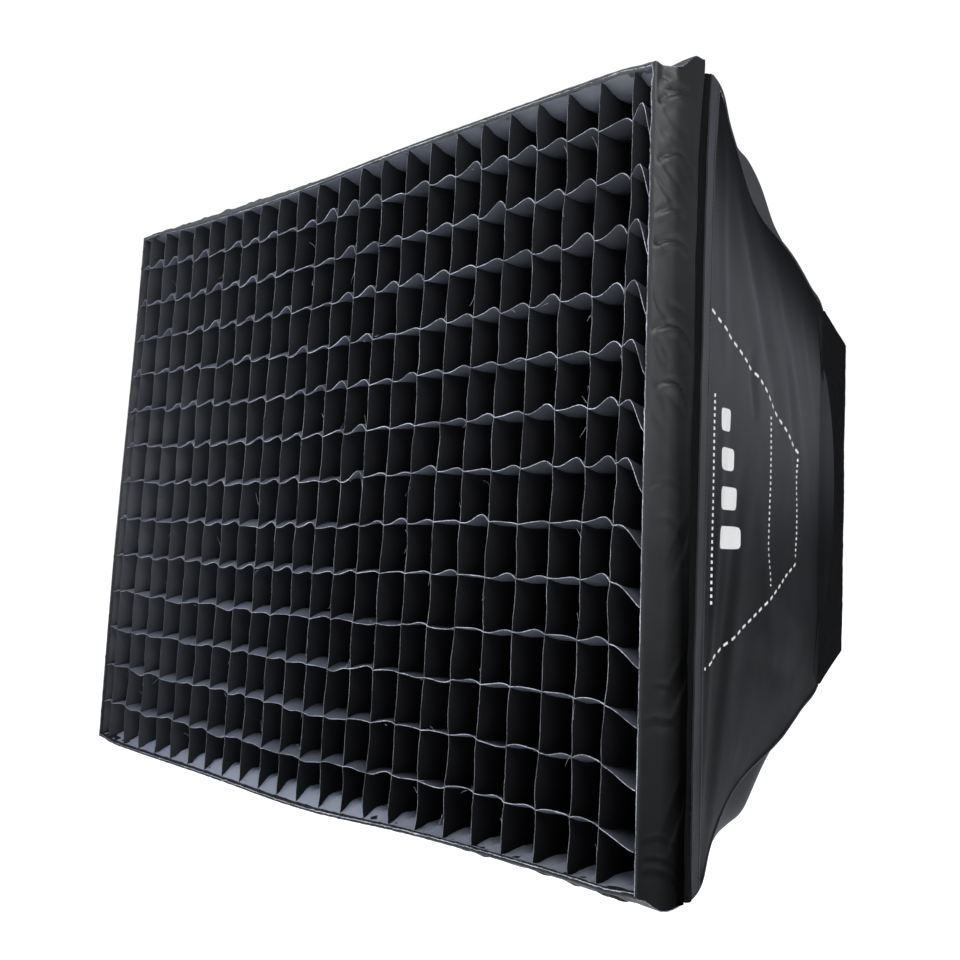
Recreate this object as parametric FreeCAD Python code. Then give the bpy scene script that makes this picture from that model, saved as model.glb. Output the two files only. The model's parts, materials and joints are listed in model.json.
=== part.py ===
import FreeCAD, Part
import os

# Rectangular softbox with a fabric egg-crate grid, built as its separate pieces.
# Millimetres. Origin: centre of the mounting frame's rear face, where the lamp seats.
# +X is right as seen from the front, +Y points back toward the lamp, +Z is up,
# so the lit front of the softbox faces -Y.

V = FreeCAD.Vector

# Overall sizes.
FRONT_W = 1200.0            # width over the grid's border
FRONT_H = 720.0             # height over the grid's border
GRID_FRONT_Y = -460.0       # front plane of the grid's border
SHELL_FRONT_Y = -400.0      # front edge of the four shell panels
SHELL_REAR_Y = -8.0         # rear edge of the four shell panels
REAR_W = 700.0              # width over the panels at the rear
REAR_H = 420.0              # height over the panels at the rear
PANEL_INSET = 4.0           # shell front edge inside the grid border, each side
CLOTH_T = 1.5               # thickness of the lined shell fabric
JOIN_GAP = 0.4              # clearance between neighbouring soft pieces

# Mounting frame.
FRAME_HX = 346.0
FRAME_HZ = 206.0
WINDOW_HX = 304.0
WINDOW_HZ = 167.0
FRAME_T = 3.0
BOLT_X = 220.0              # bolt holes at +-BOLT_X, +-BOLT_Z
BOLT_Z = 185.0
BOLT_R = 2.75

# Swivel brackets at the frame's corners.
PIVOT = V(326.0, -14.0, 186.0)
PIN_R = 3.0
EYE_R = 7.0
EAR_T = 3.0
EAR_IN_X = 312.0            # inner face of the inner ear
EAR_OUT_X = 340.0           # outer face of the outer ear
EAR_BORE_R = 3.02
EYE_BORE_R = 3.06
EYE_SIDE_GAP = 0.4
BRACKET_T = 2.0
RIVET_R = 2.0
RIVET_Z = (PIVOT.z - 9.5, PIVOT.z + 9.5)

# Rods.
ROD_R = 3.5
ROD_END = V(579.0, -392.0, 339.0)
BARREL_R = 7.0
BARREL_START = 17.0         # distances along the rod from the pivot
BARREL_MOUTH = 64.0
BORE_START = 26.0
ROD_BORE_R = 3.55
NECK_R = 4.0
TIP_R = 5.5
TIP_SLEEVE_R = 5.0
TIP_SLEEVE_L = 16.0

# Lip, tapes and diffuser at the front.
LIP_HX = 595.0
LIP_HZ = 355.0
LIP_FRONT_Y = -440.0
TAPE_T = 1.3
LOOP_Y = (-422.0, -402.0)
BAND_Y = (-424.0, -404.3)
DIFFUSER_T = 1.0
POCKET_LEG = 44.0

# Grid.
PITCH = FRONT_H / 14.0      # square cells
ROWS = 13
COLUMNS = 23
STRIP_T = 1.0
STRIP_Y = (-459.0, -412.0)
BORDER_T = 8.0
BORDER_REAR_Y = -441.0
SKIRT_REAR_Y = -415.0
SKIRT_T = 2.1

# Rear collar.
COLLAR_Y = (-7.5, 30.0)
COLLAR_T = 2.0
COLLAR_TAPE_Y = (6.0, 28.0)

# Inner baffle.
BAFFLE_Y = -200.0
BAFFLE_HX = 445.0
BAFFLE_HZ = 243.0
CORD_R = 1.4
CORD_X = (-380.0, 0.0, 380.0)
CORD_Z = (-150.0, 150.0)


def polyhedron(rear, front):
    """Solid between two four-cornered faces given in matching order."""
    faces = [rear, front]
    for i in range(4):
        j = (i + 1) % 4
        faces.append([rear[i], rear[j], front[j], front[i]])
    shells = [Part.Face(Part.makePolygon(f + [f[0]])) for f in faces]
    solid = Part.makeSolid(Part.makeShell(shells))
    if solid.Volume < 0:
        solid.reverse()
    return solid


def box_between(low, high):
    size = V(*high) - V(*low)
    return Part.makeBox(size.x, size.y, size.z, V(*low))


def rod_between(a, b, radius):
    along = b - a
    return Part.makeCylinder(radius, along.Length, a, along)


def side_bar(side, y0, y1, outer, inner, gap=0.0):
    """One mitred side of a rectangular ring, between two half sizes (x, z)."""
    ox, oz = outer
    ix, iz = inner
    if side in ("top", "bottom"):
        s = 1 if side == "top" else -1
        pts = [(-ox + gap, s * oz), (ox - gap, s * oz), (ix - gap, s * iz), (-ix + gap, s * iz)]
    else:
        s = 1 if side == "right" else -1
        pts = [(s * ox, -oz + gap), (s * ox, oz - gap), (s * ix, iz - gap), (s * ix, -iz + gap)]
    rear = [V(x, y0, z) for x, z in pts]
    front = [V(x, y1, z) for x, z in pts]
    return polyhedron(rear, front)


def ring_bars(y, outer, inner, sides=("top", "bottom", "left", "right"), gap=0.0):
    return [side_bar(s, y[1], y[0], outer, inner, gap) for s in sides]


def shell_panel(side):
    """Flat trapezoid of lined fabric between the rear opening and the front edge."""
    fx = FRONT_W / 2 - PANEL_INSET
    fz = FRONT_H / 2 - PANEL_INSET
    stations = []
    for y, hx, hz in ((SHELL_REAR_Y, REAR_W / 2, REAR_H / 2), (SHELL_FRONT_Y, fx, fz)):
        if side in ("top", "bottom"):
            s = 1 if side == "top" else -1
            a = hx - JOIN_GAP
            pts = [(-a, s * hz), (a, s * hz), (a - CLOTH_T, s * (hz - CLOTH_T)),
                   (-a + CLOTH_T, s * (hz - CLOTH_T))]
        else:
            s = 1 if side == "right" else -1
            a = hz - JOIN_GAP
            pts = [(s * hx, -a), (s * hx, a), (s * (hx - CLOTH_T), a - CLOTH_T),
                   (s * (hx - CLOTH_T), -a + CLOTH_T)]
        stations.append([V(x, y, z) for x, z in pts])
    return polyhedron(*stations)


def comb(half_length, slots, open_to_front):
    """Outline of an egg-crate strip as (length, y) points, slotted half way through."""
    front, rear = STRIP_Y
    middle = (front + rear) / 2
    slot_end = middle + 0.1 if open_to_front else middle - 0.1
    edge, far = (front, rear) if open_to_front else (rear, front)
    half = STRIP_T / 2 + 0.1
    pts = [(-half_length, far), (-half_length, edge)]
    for u in slots:
        pts += [(u - half, edge), (u - half, slot_end), (u + half, slot_end), (u + half, edge)]
    pts += [(half_length, edge), (half_length, far)]
    return pts


def bracket_block():
    """Swivel bracket for the corner at +X, +Z: a riveted base with two pin ears."""
    y_base = -FRAME_T - BRACKET_T
    solid = box_between((EAR_IN_X - 3, y_base, PIVOT.z - 14), (EAR_OUT_X, -FRAME_T, PIVOT.z + 13))
    for x in (EAR_IN_X, EAR_OUT_X - EAR_T):
        ear = box_between((x, PIVOT.y, PIVOT.z - EYE_R), (x + EAR_T, y_base, PIVOT.z + EYE_R))
        round_end = Part.makeCylinder(EYE_R, EAR_T, V(x, PIVOT.y, PIVOT.z), V(1, 0, 0))
        solid = solid.fuse(ear).fuse(round_end)
    bore = Part.makeCylinder(EAR_BORE_R, 60, V(300, PIVOT.y, PIVOT.z), V(1, 0, 0))
    solid = solid.cut(bore)
    for z in RIVET_Z:
        solid = solid.cut(Part.makeCylinder(RIVET_R, 8, V(PIVOT.x, 0, z), V(0, -1, 0)))
    return solid.removeSplitter()


def bracket_rivets():
    made = []
    for z in RIVET_Z:
        shank = Part.makeCylinder(RIVET_R, 4.7, V(PIVOT.x, -0.3, z), V(0, -1, 0))
        head = Part.makeCylinder(RIVET_R * 1.5, 1.3, V(PIVOT.x, -5.0, z), V(0, -1, 0))
        made.append(shank.fuse(head).removeSplitter())
    return made


def hinge_pin():
    at = V(EAR_IN_X - 1.2, PIVOT.y, PIVOT.z)
    length = EAR_OUT_X - EAR_IN_X + 2.4
    pin = Part.makeCylinder(PIN_R, length, at, V(1, 0, 0))
    for x in (EAR_IN_X - 1.2, EAR_OUT_X + 0.1):
        pin = pin.fuse(Part.makeCylinder(4.5, 1.1, V(x, PIVOT.y, PIVOT.z), V(1, 0, 0)))
    return pin.removeSplitter()


def along_rod(distance):
    direction = (ROD_END - PIVOT).normalize()
    return PIVOT + direction * distance


def receiver():
    """Swivel socket: an eye on the pin, a neck, and a barrel that holds the rod."""
    x0 = EAR_IN_X + EAR_T + EYE_SIDE_GAP
    x1 = EAR_OUT_X - EAR_T - EYE_SIDE_GAP
    eye = Part.makeCylinder(EYE_R, x1 - x0, V(x0, PIVOT.y, PIVOT.z), V(1, 0, 0))
    neck = rod_between(along_rod(0), along_rod(BARREL_START + 3), NECK_R)
    barrel = rod_between(along_rod(BARREL_START), along_rod(BARREL_MOUTH), BARREL_R)
    solid = eye.fuse(neck).fuse(barrel)
    solid = solid.cut(rod_between(along_rod(BORE_START), along_rod(BARREL_MOUTH + 5), ROD_BORE_R))
    bore = Part.makeCylinder(EYE_BORE_R, 60, V(300, PIVOT.y, PIVOT.z), V(1, 0, 0))
    return solid.cut(bore).removeSplitter()


ROD_LENGTH = (ROD_END - PIVOT).Length


def rod():
    return rod_between(along_rod(BORE_START + 1), along_rod(ROD_LENGTH - 2), ROD_R)


def rod_tip():
    """Rounded cap that presses the rod's end into the corner pocket."""
    start = along_rod(ROD_LENGTH - TIP_SLEEVE_L)
    cap = rod_between(start, along_rod(ROD_LENGTH), TIP_SLEEVE_R)
    cap = cap.fuse(Part.makeSphere(TIP_R, ROD_END))
    return cap.cut(rod_between(start, along_rod(ROD_LENGTH - 1.9), ROD_R + 0.02))


def corner_pocket():
    """Reinforced triangle of fabric in front of the rod's tip."""
    x, z = 591.0, 351.0
    y = ROD_END.y - TIP_R - 0.5
    pts = [V(x, y, z), V(x - POCKET_LEG, y, z), V(x, y, z - POCKET_LEG)]
    face = Part.Face(Part.makePolygon(pts + [pts[0]]))
    return face.extrude(V(0, -1.6, 0))


def corner_piping():
    """Bound seam cord along the outside of a shell corner."""
    off = 1.7
    rear = V(REAR_W / 2 + off, SHELL_REAR_Y, REAR_H / 2 + off)
    front = V(FRONT_W / 2 - PANEL_INSET + off, SHELL_FRONT_Y, FRONT_H / 2 - PANEL_INSET + off)
    return rod_between(rear, front, 1.5)


def both_sides(shapes):
    """The shapes and their mirror images across the plane X = 0."""
    return shapes + [s.mirror(V(0, 0, 0), V(1, 0, 0)) for s in shapes]


def below(shapes):
    """The shapes mirrored across the plane Z = 0."""
    return [s.mirror(V(0, 0, 0), V(0, 0, 1)) for s in shapes]


def mounting_frame():
    plate = box_between((-FRAME_HX, -FRAME_T, -FRAME_HZ), (FRAME_HX, 0, FRAME_HZ))
    upright = [e for e in plate.Edges if abs(e.tangentAt(e.FirstParameter).y) > 0.9]
    plate = plate.makeFillet(10.0, upright)
    window = box_between((-WINDOW_HX, -9, -WINDOW_HZ), (WINDOW_HX, 9, WINDOW_HZ))
    upright = [e for e in window.Edges if abs(e.tangentAt(e.FirstParameter).y) > 0.9]
    plate = plate.cut(window.makeFillet(16.0, upright))
    for x in (-BOLT_X, BOLT_X):
        for z in (-BOLT_Z, BOLT_Z):
            plate = plate.cut(Part.makeCylinder(BOLT_R, 10, V(x, 5, z), V(0, -1, 0)))
    for x in (-PIVOT.x, PIVOT.x):
        for s in (-1, 1):
            for z in RIVET_Z:
                plate = plate.cut(Part.makeCylinder(RIVET_R, 10, V(x, 5, s * z), V(0, -1, 0)))
    return plate


def inner_half(y):
    """Inner half sizes of the shell at depth y."""
    t = (SHELL_REAR_Y - y) / (SHELL_REAR_Y - SHELL_FRONT_Y)
    hx = REAR_W / 2 + t * (FRONT_W / 2 - PANEL_INSET - REAR_W / 2) - CLOTH_T
    hz = REAR_H / 2 + t * (FRONT_H / 2 - PANEL_INSET - REAR_H / 2) - CLOTH_T
    return hx, hz


def baffle_cords():
    """Elastic cords from the baffle's hem to the shell, and the hooks at their ends."""
    hx, hz = inner_half(BAFFLE_Y)
    cords, hooks = [], []
    ties = [(V(x, BAFFLE_Y, s * BAFFLE_HZ), V(0, 0, s), hz - BAFFLE_HZ)
            for x in CORD_X for s in (-1, 1)]
    ties += [(V(s * BAFFLE_HX, BAFFLE_Y, z), V(s, 0, 0), hx - BAFFLE_HX)
             for z in CORD_Z for s in (-1, 1)]
    for start, out, room in ties:
        start = start + out * 0.2
        end = start + out * (room - 9.0)
        cords.append(rod_between(start, end, CORD_R))
        centre = end + out * 3.2
        hooks.append(box_between(centre - V(3, 3, 3), centre + V(3, 3, 3)))
    return cords, hooks


def egg_crate():
    row_z = [PITCH * (i - (ROWS - 1) / 2) for i in range(ROWS)]
    column_x = [PITCH * (j - (COLUMNS - 1) / 2) for j in range(COLUMNS)]
    half_x = FRONT_W / 2 - BORDER_T
    half_z = FRONT_H / 2 - BORDER_T
    rows, columns = [], []
    for z in row_z:
        pts = [V(u, y, z - STRIP_T / 2) for u, y in comb(half_x, column_x, False)]
        face = Part.Face(Part.makePolygon(pts + [pts[0]]))
        rows.append(face.extrude(V(0, 0, STRIP_T)))
    for x in column_x:
        pts = [V(x - STRIP_T / 2, y, u) for u, y in comb(half_z, row_z, True)]
        face = Part.Face(Part.makePolygon(pts + [pts[0]]))
        columns.append(face.extrude(V(STRIP_T, 0, 0)))
    return rows, columns


nodes = {}

# Frame group.
nodes["mounting_frame"] = [mounting_frame()]
brackets = both_sides([bracket_block()])
nodes["corner_brackets"] = brackets + below(brackets)
rivets = both_sides(bracket_rivets())
nodes["bracket_rivets"] = rivets + below(rivets)
pins = both_sides([hinge_pin()])
nodes["hinge_pins"] = pins + below(pins)

collar_outer = (REAR_W / 2 + 0.2, REAR_H / 2 + 0.2)
collar_inner = (collar_outer[0] - COLLAR_T, collar_outer[1] - COLLAR_T)
tape_outer = (collar_inner[0] - 0.1, collar_inner[1] - 0.1)
tape_inner = (tape_outer[0] - TAPE_T, tape_outer[1] - TAPE_T)
for side in ("top", "bottom", "left", "right"):
    nodes["collar_" + side] = [side_bar(side, COLLAR_Y[1], COLLAR_Y[0],
                                        collar_outer, collar_inner, JOIN_GAP)]
nodes["collar_tape"] = ring_bars(COLLAR_TAPE_Y, tape_outer, tape_inner, gap=12.0)

# Rod sets, shell panels and the lip.
lip_outer = (LIP_HX, LIP_HZ)
lip_inner = (LIP_HX - CLOTH_T, LIP_HZ - CLOTH_T)
loop_outer = (LIP_HX + 0.1 + TAPE_T, LIP_HZ + 0.1 + TAPE_T)
loop_inner = (LIP_HX + 0.1, LIP_HZ + 0.1)
lip_y = (LIP_FRONT_Y, SHELL_FRONT_Y - 0.1)

sets = {
    "receivers": both_sides([receiver()]),
    "rods": both_sides([rod()]),
    "rod_tips": both_sides([rod_tip()]),
    "pockets": both_sides([corner_pocket()]),
    "piping": both_sides([corner_piping()]),
}
for name, shapes in sets.items():
    nodes["upper_" + name] = shapes
    nodes["lower_" + name] = below(shapes)

for side in ("top", "bottom", "left", "right"):
    nodes["panel_" + side] = [shell_panel(side)]
    nodes["lip_" + side] = ring_bars(lip_y, lip_outer, lip_inner, (side,), JOIN_GAP)
    nodes["loop_tape_" + side] = ring_bars(LOOP_Y, loop_outer, loop_inner, (side,), JOIN_GAP)

# Inner baffle.
nodes["baffle_cloth"] = [box_between((-BAFFLE_HX, BAFFLE_Y - 0.5, -BAFFLE_HZ),
                                     (BAFFLE_HX, BAFFLE_Y + 0.5, BAFFLE_HZ))]
nodes["baffle_cords"], nodes["baffle_hooks"] = baffle_cords()

# Front diffuser, with the hook-tape band round its edge.
band_outer = (lip_inner[0] - 0.2, lip_inner[1] - 0.2)
band_inner = (band_outer[0] - 1.0, band_outer[1] - 1.0)
nodes["diffuser_band"] = ring_bars(BAND_Y, band_outer, band_inner)
cloth_x = band_inner[0] - 0.1
cloth_z = band_inner[1] - 0.1
nodes["diffuser_cloth"] = [box_between((-cloth_x, BAND_Y[1] - DIFFUSER_T, -cloth_z),
                                       (cloth_x, BAND_Y[1], cloth_z))]

# Egg-crate grid: padded border, skirt with hook tape, and the two sets of slotted strips.
border_outer = (FRONT_W / 2, FRONT_H / 2)
border_inner = (FRONT_W / 2 - BORDER_T, FRONT_H / 2 - BORDER_T)
skirt_inner = (FRONT_W / 2 - SKIRT_T, FRONT_H / 2 - SKIRT_T)
hook_outer = (skirt_inner[0] - 0.1, skirt_inner[1] - 0.1)
hook_inner = (hook_outer[0] - 1.2, hook_outer[1] - 1.2)
nodes["grid_border"] = ring_bars((GRID_FRONT_Y, BORDER_REAR_Y), border_outer, border_inner)
nodes["grid_skirt"] = ring_bars((BORDER_REAR_Y, SKIRT_REAR_Y), border_outer, skirt_inner)
nodes["grid_hook_tape"] = ring_bars((-437.0, -417.0), hook_outer, hook_inner)
nodes["grid_rows"], nodes["grid_columns"] = egg_crate()

os.makedirs("parts", exist_ok=True)
for name, shapes in nodes.items():
    shape = shapes[0] if len(shapes) == 1 else Part.makeCompound(shapes)
    shape.exportStep("parts/" + name + ".step")
    print(name, len(shapes), all(s.isValid() for s in shapes), round(shape.Volume))
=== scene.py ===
import json
import math
import random

import bpy
import numpy as np
from mathutils import Matrix, Vector, noise


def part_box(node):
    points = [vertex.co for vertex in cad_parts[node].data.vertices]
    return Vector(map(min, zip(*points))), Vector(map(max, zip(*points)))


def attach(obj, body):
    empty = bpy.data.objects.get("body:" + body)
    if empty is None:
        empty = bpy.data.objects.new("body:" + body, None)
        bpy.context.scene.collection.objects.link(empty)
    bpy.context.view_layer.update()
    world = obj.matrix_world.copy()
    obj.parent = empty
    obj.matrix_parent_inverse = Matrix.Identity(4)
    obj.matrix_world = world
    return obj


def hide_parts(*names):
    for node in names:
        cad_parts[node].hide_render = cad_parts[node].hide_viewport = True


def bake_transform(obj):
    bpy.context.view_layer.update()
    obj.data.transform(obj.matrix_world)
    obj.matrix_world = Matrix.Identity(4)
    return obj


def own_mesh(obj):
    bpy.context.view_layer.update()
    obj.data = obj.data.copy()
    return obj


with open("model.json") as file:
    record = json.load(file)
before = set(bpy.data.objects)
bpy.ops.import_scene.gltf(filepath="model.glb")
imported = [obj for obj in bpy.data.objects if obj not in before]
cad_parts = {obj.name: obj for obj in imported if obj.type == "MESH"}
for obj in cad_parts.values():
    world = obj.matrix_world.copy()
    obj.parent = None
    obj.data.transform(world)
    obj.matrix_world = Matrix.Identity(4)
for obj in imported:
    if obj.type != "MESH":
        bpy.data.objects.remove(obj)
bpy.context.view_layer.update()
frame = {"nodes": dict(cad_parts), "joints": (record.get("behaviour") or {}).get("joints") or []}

MM = 0.001
rng = random.Random(11)

# ---------------------------------------------------------------- places taken from the frame
BORDER_LO, BORDER_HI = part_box("grid_border")
HALF_X, HALF_Z = BORDER_HI.x, BORDER_HI.z
GRID_FRONT_Y, BORDER_REAR_Y = BORDER_LO.y, BORDER_HI.y
SKIRT_REAR_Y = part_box("grid_skirt")[1].y
INNER_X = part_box("grid_rows")[1].x
INNER_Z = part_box("grid_columns")[1].z
STRIP_FRONT_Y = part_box("grid_rows")[0].y
STRIP_REAR_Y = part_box("grid_rows")[1].y
ROWS, COLUMNS = 13, 23
ROW_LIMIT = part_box("grid_rows")[1].z - 0.5 * MM
COLUMN_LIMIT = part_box("grid_columns")[1].x - 0.5 * MM
ROW_Z = [ROW_LIMIT * (2 * i / (ROWS - 1) - 1) for i in range(ROWS)]
COLUMN_X = [COLUMN_LIMIT * (2 * j / (COLUMNS - 1) - 1) for j in range(COLUMNS)]

SHELL_FRONT = Vector((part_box("panel_right")[1].x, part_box("panel_top")[0].y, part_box("panel_top")[1].z))
SHELL_REAR = Vector((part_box("collar_right")[1].x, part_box("panel_top")[1].y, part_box("collar_top")[1].z))
COLLAR_REAR_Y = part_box("collar_top")[1].y
TAPE_LO, TAPE_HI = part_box("loop_tape_top")
LIP_LO, LIP_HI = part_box("lip_top")
BAND_LO, BAND_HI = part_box("diffuser_band")

JOINTS = {j["name"]: j for j in frame["joints"]}
PIVOT = Vector(JOINTS["fold_upper"]["pos_m"])
FOLD = math.radians(JOINTS["fold_upper"]["range_deg"][1])
FOLD_KEEP = 0.050           # share of their height that the grid and diffuser would keep if folded flat
BAFFLE_KEEP = 0.38          # the same for the baffle, which sits deeper in the shell
BEND_DEPTH = 0.052          # depth in front of the rear edge over which the top and bottom panels would bend
UPRIGHT = ("left", "right")
STRIP_WIDTH = 0.047         # width of a grid strip's cloth, for its weave
STRIP_STEPS = 7             # points across a grid strip
ROW_THICK, COLUMN_THICK = 0.75 * MM, 0.7 * MM
PANEL_THICK, HEM_THICK = 1.1 * MM, 1.6 * MM
THREADS = 130               # loose threads scattered over the grid


# ---------------------------------------------------------------- mesh tools
def smoothstep(t):
    t = np.clip(t, 0.0, 1.0)
    return t * t * (3 - 2 * t)


def bell(x, width, centre=0.0):
    """A smooth bump of height 1 at centre."""
    return np.exp(-(((x - centre) / width) ** 2))


def field(points, scale, seed=0.0):
    """Smooth noise from -1 to 1 at points of shape (..., 3); scale is bumps per metre, or three."""
    flat = points.reshape(-1, 3) * np.array(scale) + seed
    values = np.array([noise.noise(Vector(p)) for p in flat])
    return values.reshape(points.shape[:-1])


def normals(points):
    du = np.gradient(points, axis=0)
    dv = np.gradient(points, axis=1)
    n = np.cross(du, dv)
    return n / np.maximum(np.linalg.norm(n, axis=-1, keepdims=True), 1e-12)


def outward(side):
    return 1 if side in ("right", "top") else -1


def placed(along, y, out, upright):
    """Points of one side of the box, which runs up it or across it."""
    return np.stack([out, y, along] if upright else [along, y, out], -1)


def face_out(points, uv, axis=0):
    """Turns a grid of points over if its normals point inward at its middle."""
    middle = tuple(n // 2 for n in points.shape[:2])
    if (normals(points)[middle] * points[middle])[[0, 2]].sum() < 0:
        return np.flip(points, axis), np.flip(uv, axis)
    return points, uv


def link(obj):
    bpy.context.scene.collection.objects.link(obj)
    return obj


class Piece:
    """Collects the surfaces of one piece and makes its mesh."""

    def __init__(self):
        self.verts, self.uvs, self.faces, self.slots, self.flat = [], [], [], [], []
        self.count = 0

    def add(self, verts, uvs, faces, slot, flat=False):
        self.verts.append(np.asarray(verts, float).reshape(-1, 3))
        self.uvs.append(np.asarray(uvs, float).reshape(-1, 2))
        for face in faces:
            self.faces.append([k + self.count for k in face])
            self.slots.append(slot)
            self.flat.append(flat)
        self.count += len(self.verts[-1])

    def sheet(self, points, uv, thick, slots=(0, 0, 0)):
        """Cloth of some thickness below a grid of points (nu, nv, 3). Slots: outside, inside, cut edge."""
        nu, nv = points.shape[:2]
        under = points - normals(points) * thick
        verts = np.concatenate([points.reshape(-1, 3), under.reshape(-1, 3)])
        uvs = np.concatenate([uv.reshape(-1, 2), uv.reshape(-1, 2)])
        low = nu * nv
        top, bottom, rim = [], [], []
        for i in range(nu - 1):
            for j in range(nv - 1):
                a, b = i * nv + j, (i + 1) * nv + j
                top.append((a, b, b + 1, a + 1))
                bottom.append((low + a + 1, low + b + 1, low + b, low + a))
        for i in range(nu - 1):
            a, b = i * nv, (i + 1) * nv
            rim.append((a, low + a, low + b, b))
            c, d = a + nv - 1, b + nv - 1
            rim.append((d, low + d, low + c, c))
        for j in range(nv - 1):
            rim.append((j, j + 1, low + j + 1, low + j))
            a = (nu - 1) * nv + j
            rim.append((a + 1, a, low + a, low + a + 1))
        first = self.count
        self.add(verts, uvs, top, slots[0])
        for group, slot, flat in ((bottom, slots[1], False), (rim, slots[2], True)):
            for face in group:
                self.faces.append([k + first for k in face])
                self.slots.append(slot)
                self.flat.append(flat)

    def tube(self, path, radius, sides=6, slot=0):
        """A round cord along a path (n, 3). Radius may be one number or one per point."""
        path = np.asarray(path, float)
        n = len(path)
        radii = np.broadcast_to(np.asarray(radius, float), (n,))
        along = np.gradient(path, axis=0)
        along /= np.maximum(np.linalg.norm(along, axis=1, keepdims=True), 1e-12)
        guide = np.array([0.31, 0.42, 0.85])
        side = np.cross(along, guide)
        side /= np.linalg.norm(side, axis=1, keepdims=True)
        up = np.cross(side, along)
        angles = np.arange(sides) * 2 * math.pi / sides
        ring = np.cos(angles)[None, :, None] * side[:, None] + np.sin(angles)[None, :, None] * up[:, None]
        verts = path[:, None] + ring * radii[:, None, None]
        length = np.concatenate([[0], np.cumsum(np.linalg.norm(np.diff(path, axis=0), axis=1))])
        uvs = np.stack(np.meshgrid(length, angles * radii.mean(), indexing="ij"), -1)
        faces = []
        for i in range(n - 1):
            for k in range(sides):
                m = (k + 1) % sides
                faces.append((i * sides + k, (i + 1) * sides + k, (i + 1) * sides + m, i * sides + m))
        faces.append(tuple(range(sides)))
        faces.append(tuple(reversed(range((n - 1) * sides, n * sides))))
        self.add(verts, uvs, faces, slot)

    def slab(self, corners, lift, slot):
        """A thin four-cornered plate whose top stands lift above the given corners."""
        corners = np.asarray(corners, float)
        n = np.cross(corners[1] - corners[0], corners[3] - corners[0])
        n /= max(np.linalg.norm(n), 1e-12)
        verts = np.concatenate([corners + n * lift, corners - n * lift * 0.6])
        faces = [(0, 1, 2, 3), (7, 6, 5, 4)]
        faces += [(k, k + 4, (k + 1) % 4 + 4, (k + 1) % 4) for k in range(4)]
        self.add(verts, verts[:, [1, 2]], faces, slot, True)

    def make(self, name, materials, slot_name):
        verts = np.concatenate(self.verts)
        uvs = np.concatenate(self.uvs)
        mesh = bpy.data.meshes.new(name)
        mesh.from_pydata(verts.tolist(), [], self.faces)
        for m in materials:
            mesh.materials.append(m)
        mesh.polygons.foreach_set("material_index", self.slots)
        mesh.polygons.foreach_set("use_smooth", [not f for f in self.flat])
        loops = np.zeros(len(mesh.loops), np.int32)
        mesh.loops.foreach_get("vertex_index", loops)
        layer = mesh.uv_layers.new(name="cloth")
        layer.uv.foreach_set("vector", uvs[loops].astype(np.float32).ravel())
        edges = np.zeros(len(mesh.loops), np.int32)
        mesh.loops.foreach_get("edge_index", edges)
        sizes = np.array([len(f) for f in self.faces])
        flat_loops = np.repeat(np.array(self.flat), sizes)
        sharp = np.zeros(len(mesh.edges), bool)
        sharp[edges[flat_loops]] = True
        mark = mesh.attributes.new("sharp_edge", "BOOLEAN", "EDGE")
        mark.data.foreach_set("value", sharp)
        mesh.update()
        obj = link(bpy.data.objects.new(name, mesh))
        return obj


def metric_uv(us, vs):
    return np.stack(np.meshgrid(us, vs, indexing="ij"), -1)


# ---------------------------------------------------------------- materials
class Nodes:
    """Short calls for building a node tree."""

    def __init__(self, name):
        self.material = bpy.data.materials.new(name)
        self.material.use_nodes = True
        self.tree = self.material.node_tree
        self.shader = self.tree.nodes["Principled BSDF"]

    def node(self, kind, inputs=(), **settings):
        made = self.tree.nodes.new(kind)
        for key, value in settings.items():
            setattr(made, key, value)
        for key, value in dict(inputs).items():
            if isinstance(value, bpy.types.NodeSocket):
                self.tree.links.new(value, made.inputs[key])
            else:
                made.inputs[key].default_value = value
        return made

    def math(self, operation, a, b=0.0):
        return self.node("ShaderNodeMath", {0: a, 1: b}, operation=operation).outputs[0]

    def noise(self, vector, scale, detail=3.0, rough=0.55):
        inputs = {"Vector": vector, "Scale": scale, "Detail": detail, "Roughness": rough}
        return self.node("ShaderNodeTexNoise", inputs).outputs["Fac"]

    def ramp(self, value, low, high):
        """Maps a 0 to 1 value between two colours or two levels."""
        mix = self.node("ShaderNodeMix", {0: value}, data_type="RGBA")
        for socket, colour in ((6, low), (7, high)):
            mix.inputs[socket].default_value = (*colour, 1.0)
        return mix.outputs[2]

    def range(self, value, low, high, start=0.0, stop=1.0):
        inputs = {0: value, 1: start, 2: stop, 3: low, 4: high}
        return self.node("ShaderNodeMapRange", inputs).outputs[0]

    def set(self, **inputs):
        for key, value in inputs.items():
            name = key.replace("_", " ")
            if isinstance(value, bpy.types.NodeSocket):
                self.tree.links.new(value, self.shader.inputs[name])
            else:
                self.shader.inputs[name].default_value = value

    def bump(self, height, strength, distance, normal=None):
        inputs = {"Height": height, "Strength": strength, "Distance": distance}
        if normal is not None:
            inputs["Normal"] = normal
        return self.node("ShaderNodeBump", inputs).outputs[0]


def weave(n, uv, per_metre, tilt=0.0):
    """Height of crossed threads, from 0 to 1, along the cloth's own U and V."""
    turned = n.node("ShaderNodeVectorRotate", {"Vector": uv, "Angle": tilt}, rotation_type="Z_AXIS").outputs[0]
    inputs = {"Vector": turned, "Scale": per_metre / 2, "Distortion": 0.6, "Detail": 1.0}
    warp = n.node("ShaderNodeTexWave", inputs, bands_direction="X").outputs["Fac"]
    weft = n.node("ShaderNodeTexWave", inputs, bands_direction="Y").outputs["Fac"]
    return n.math("MAXIMUM", warp, weft)


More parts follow.
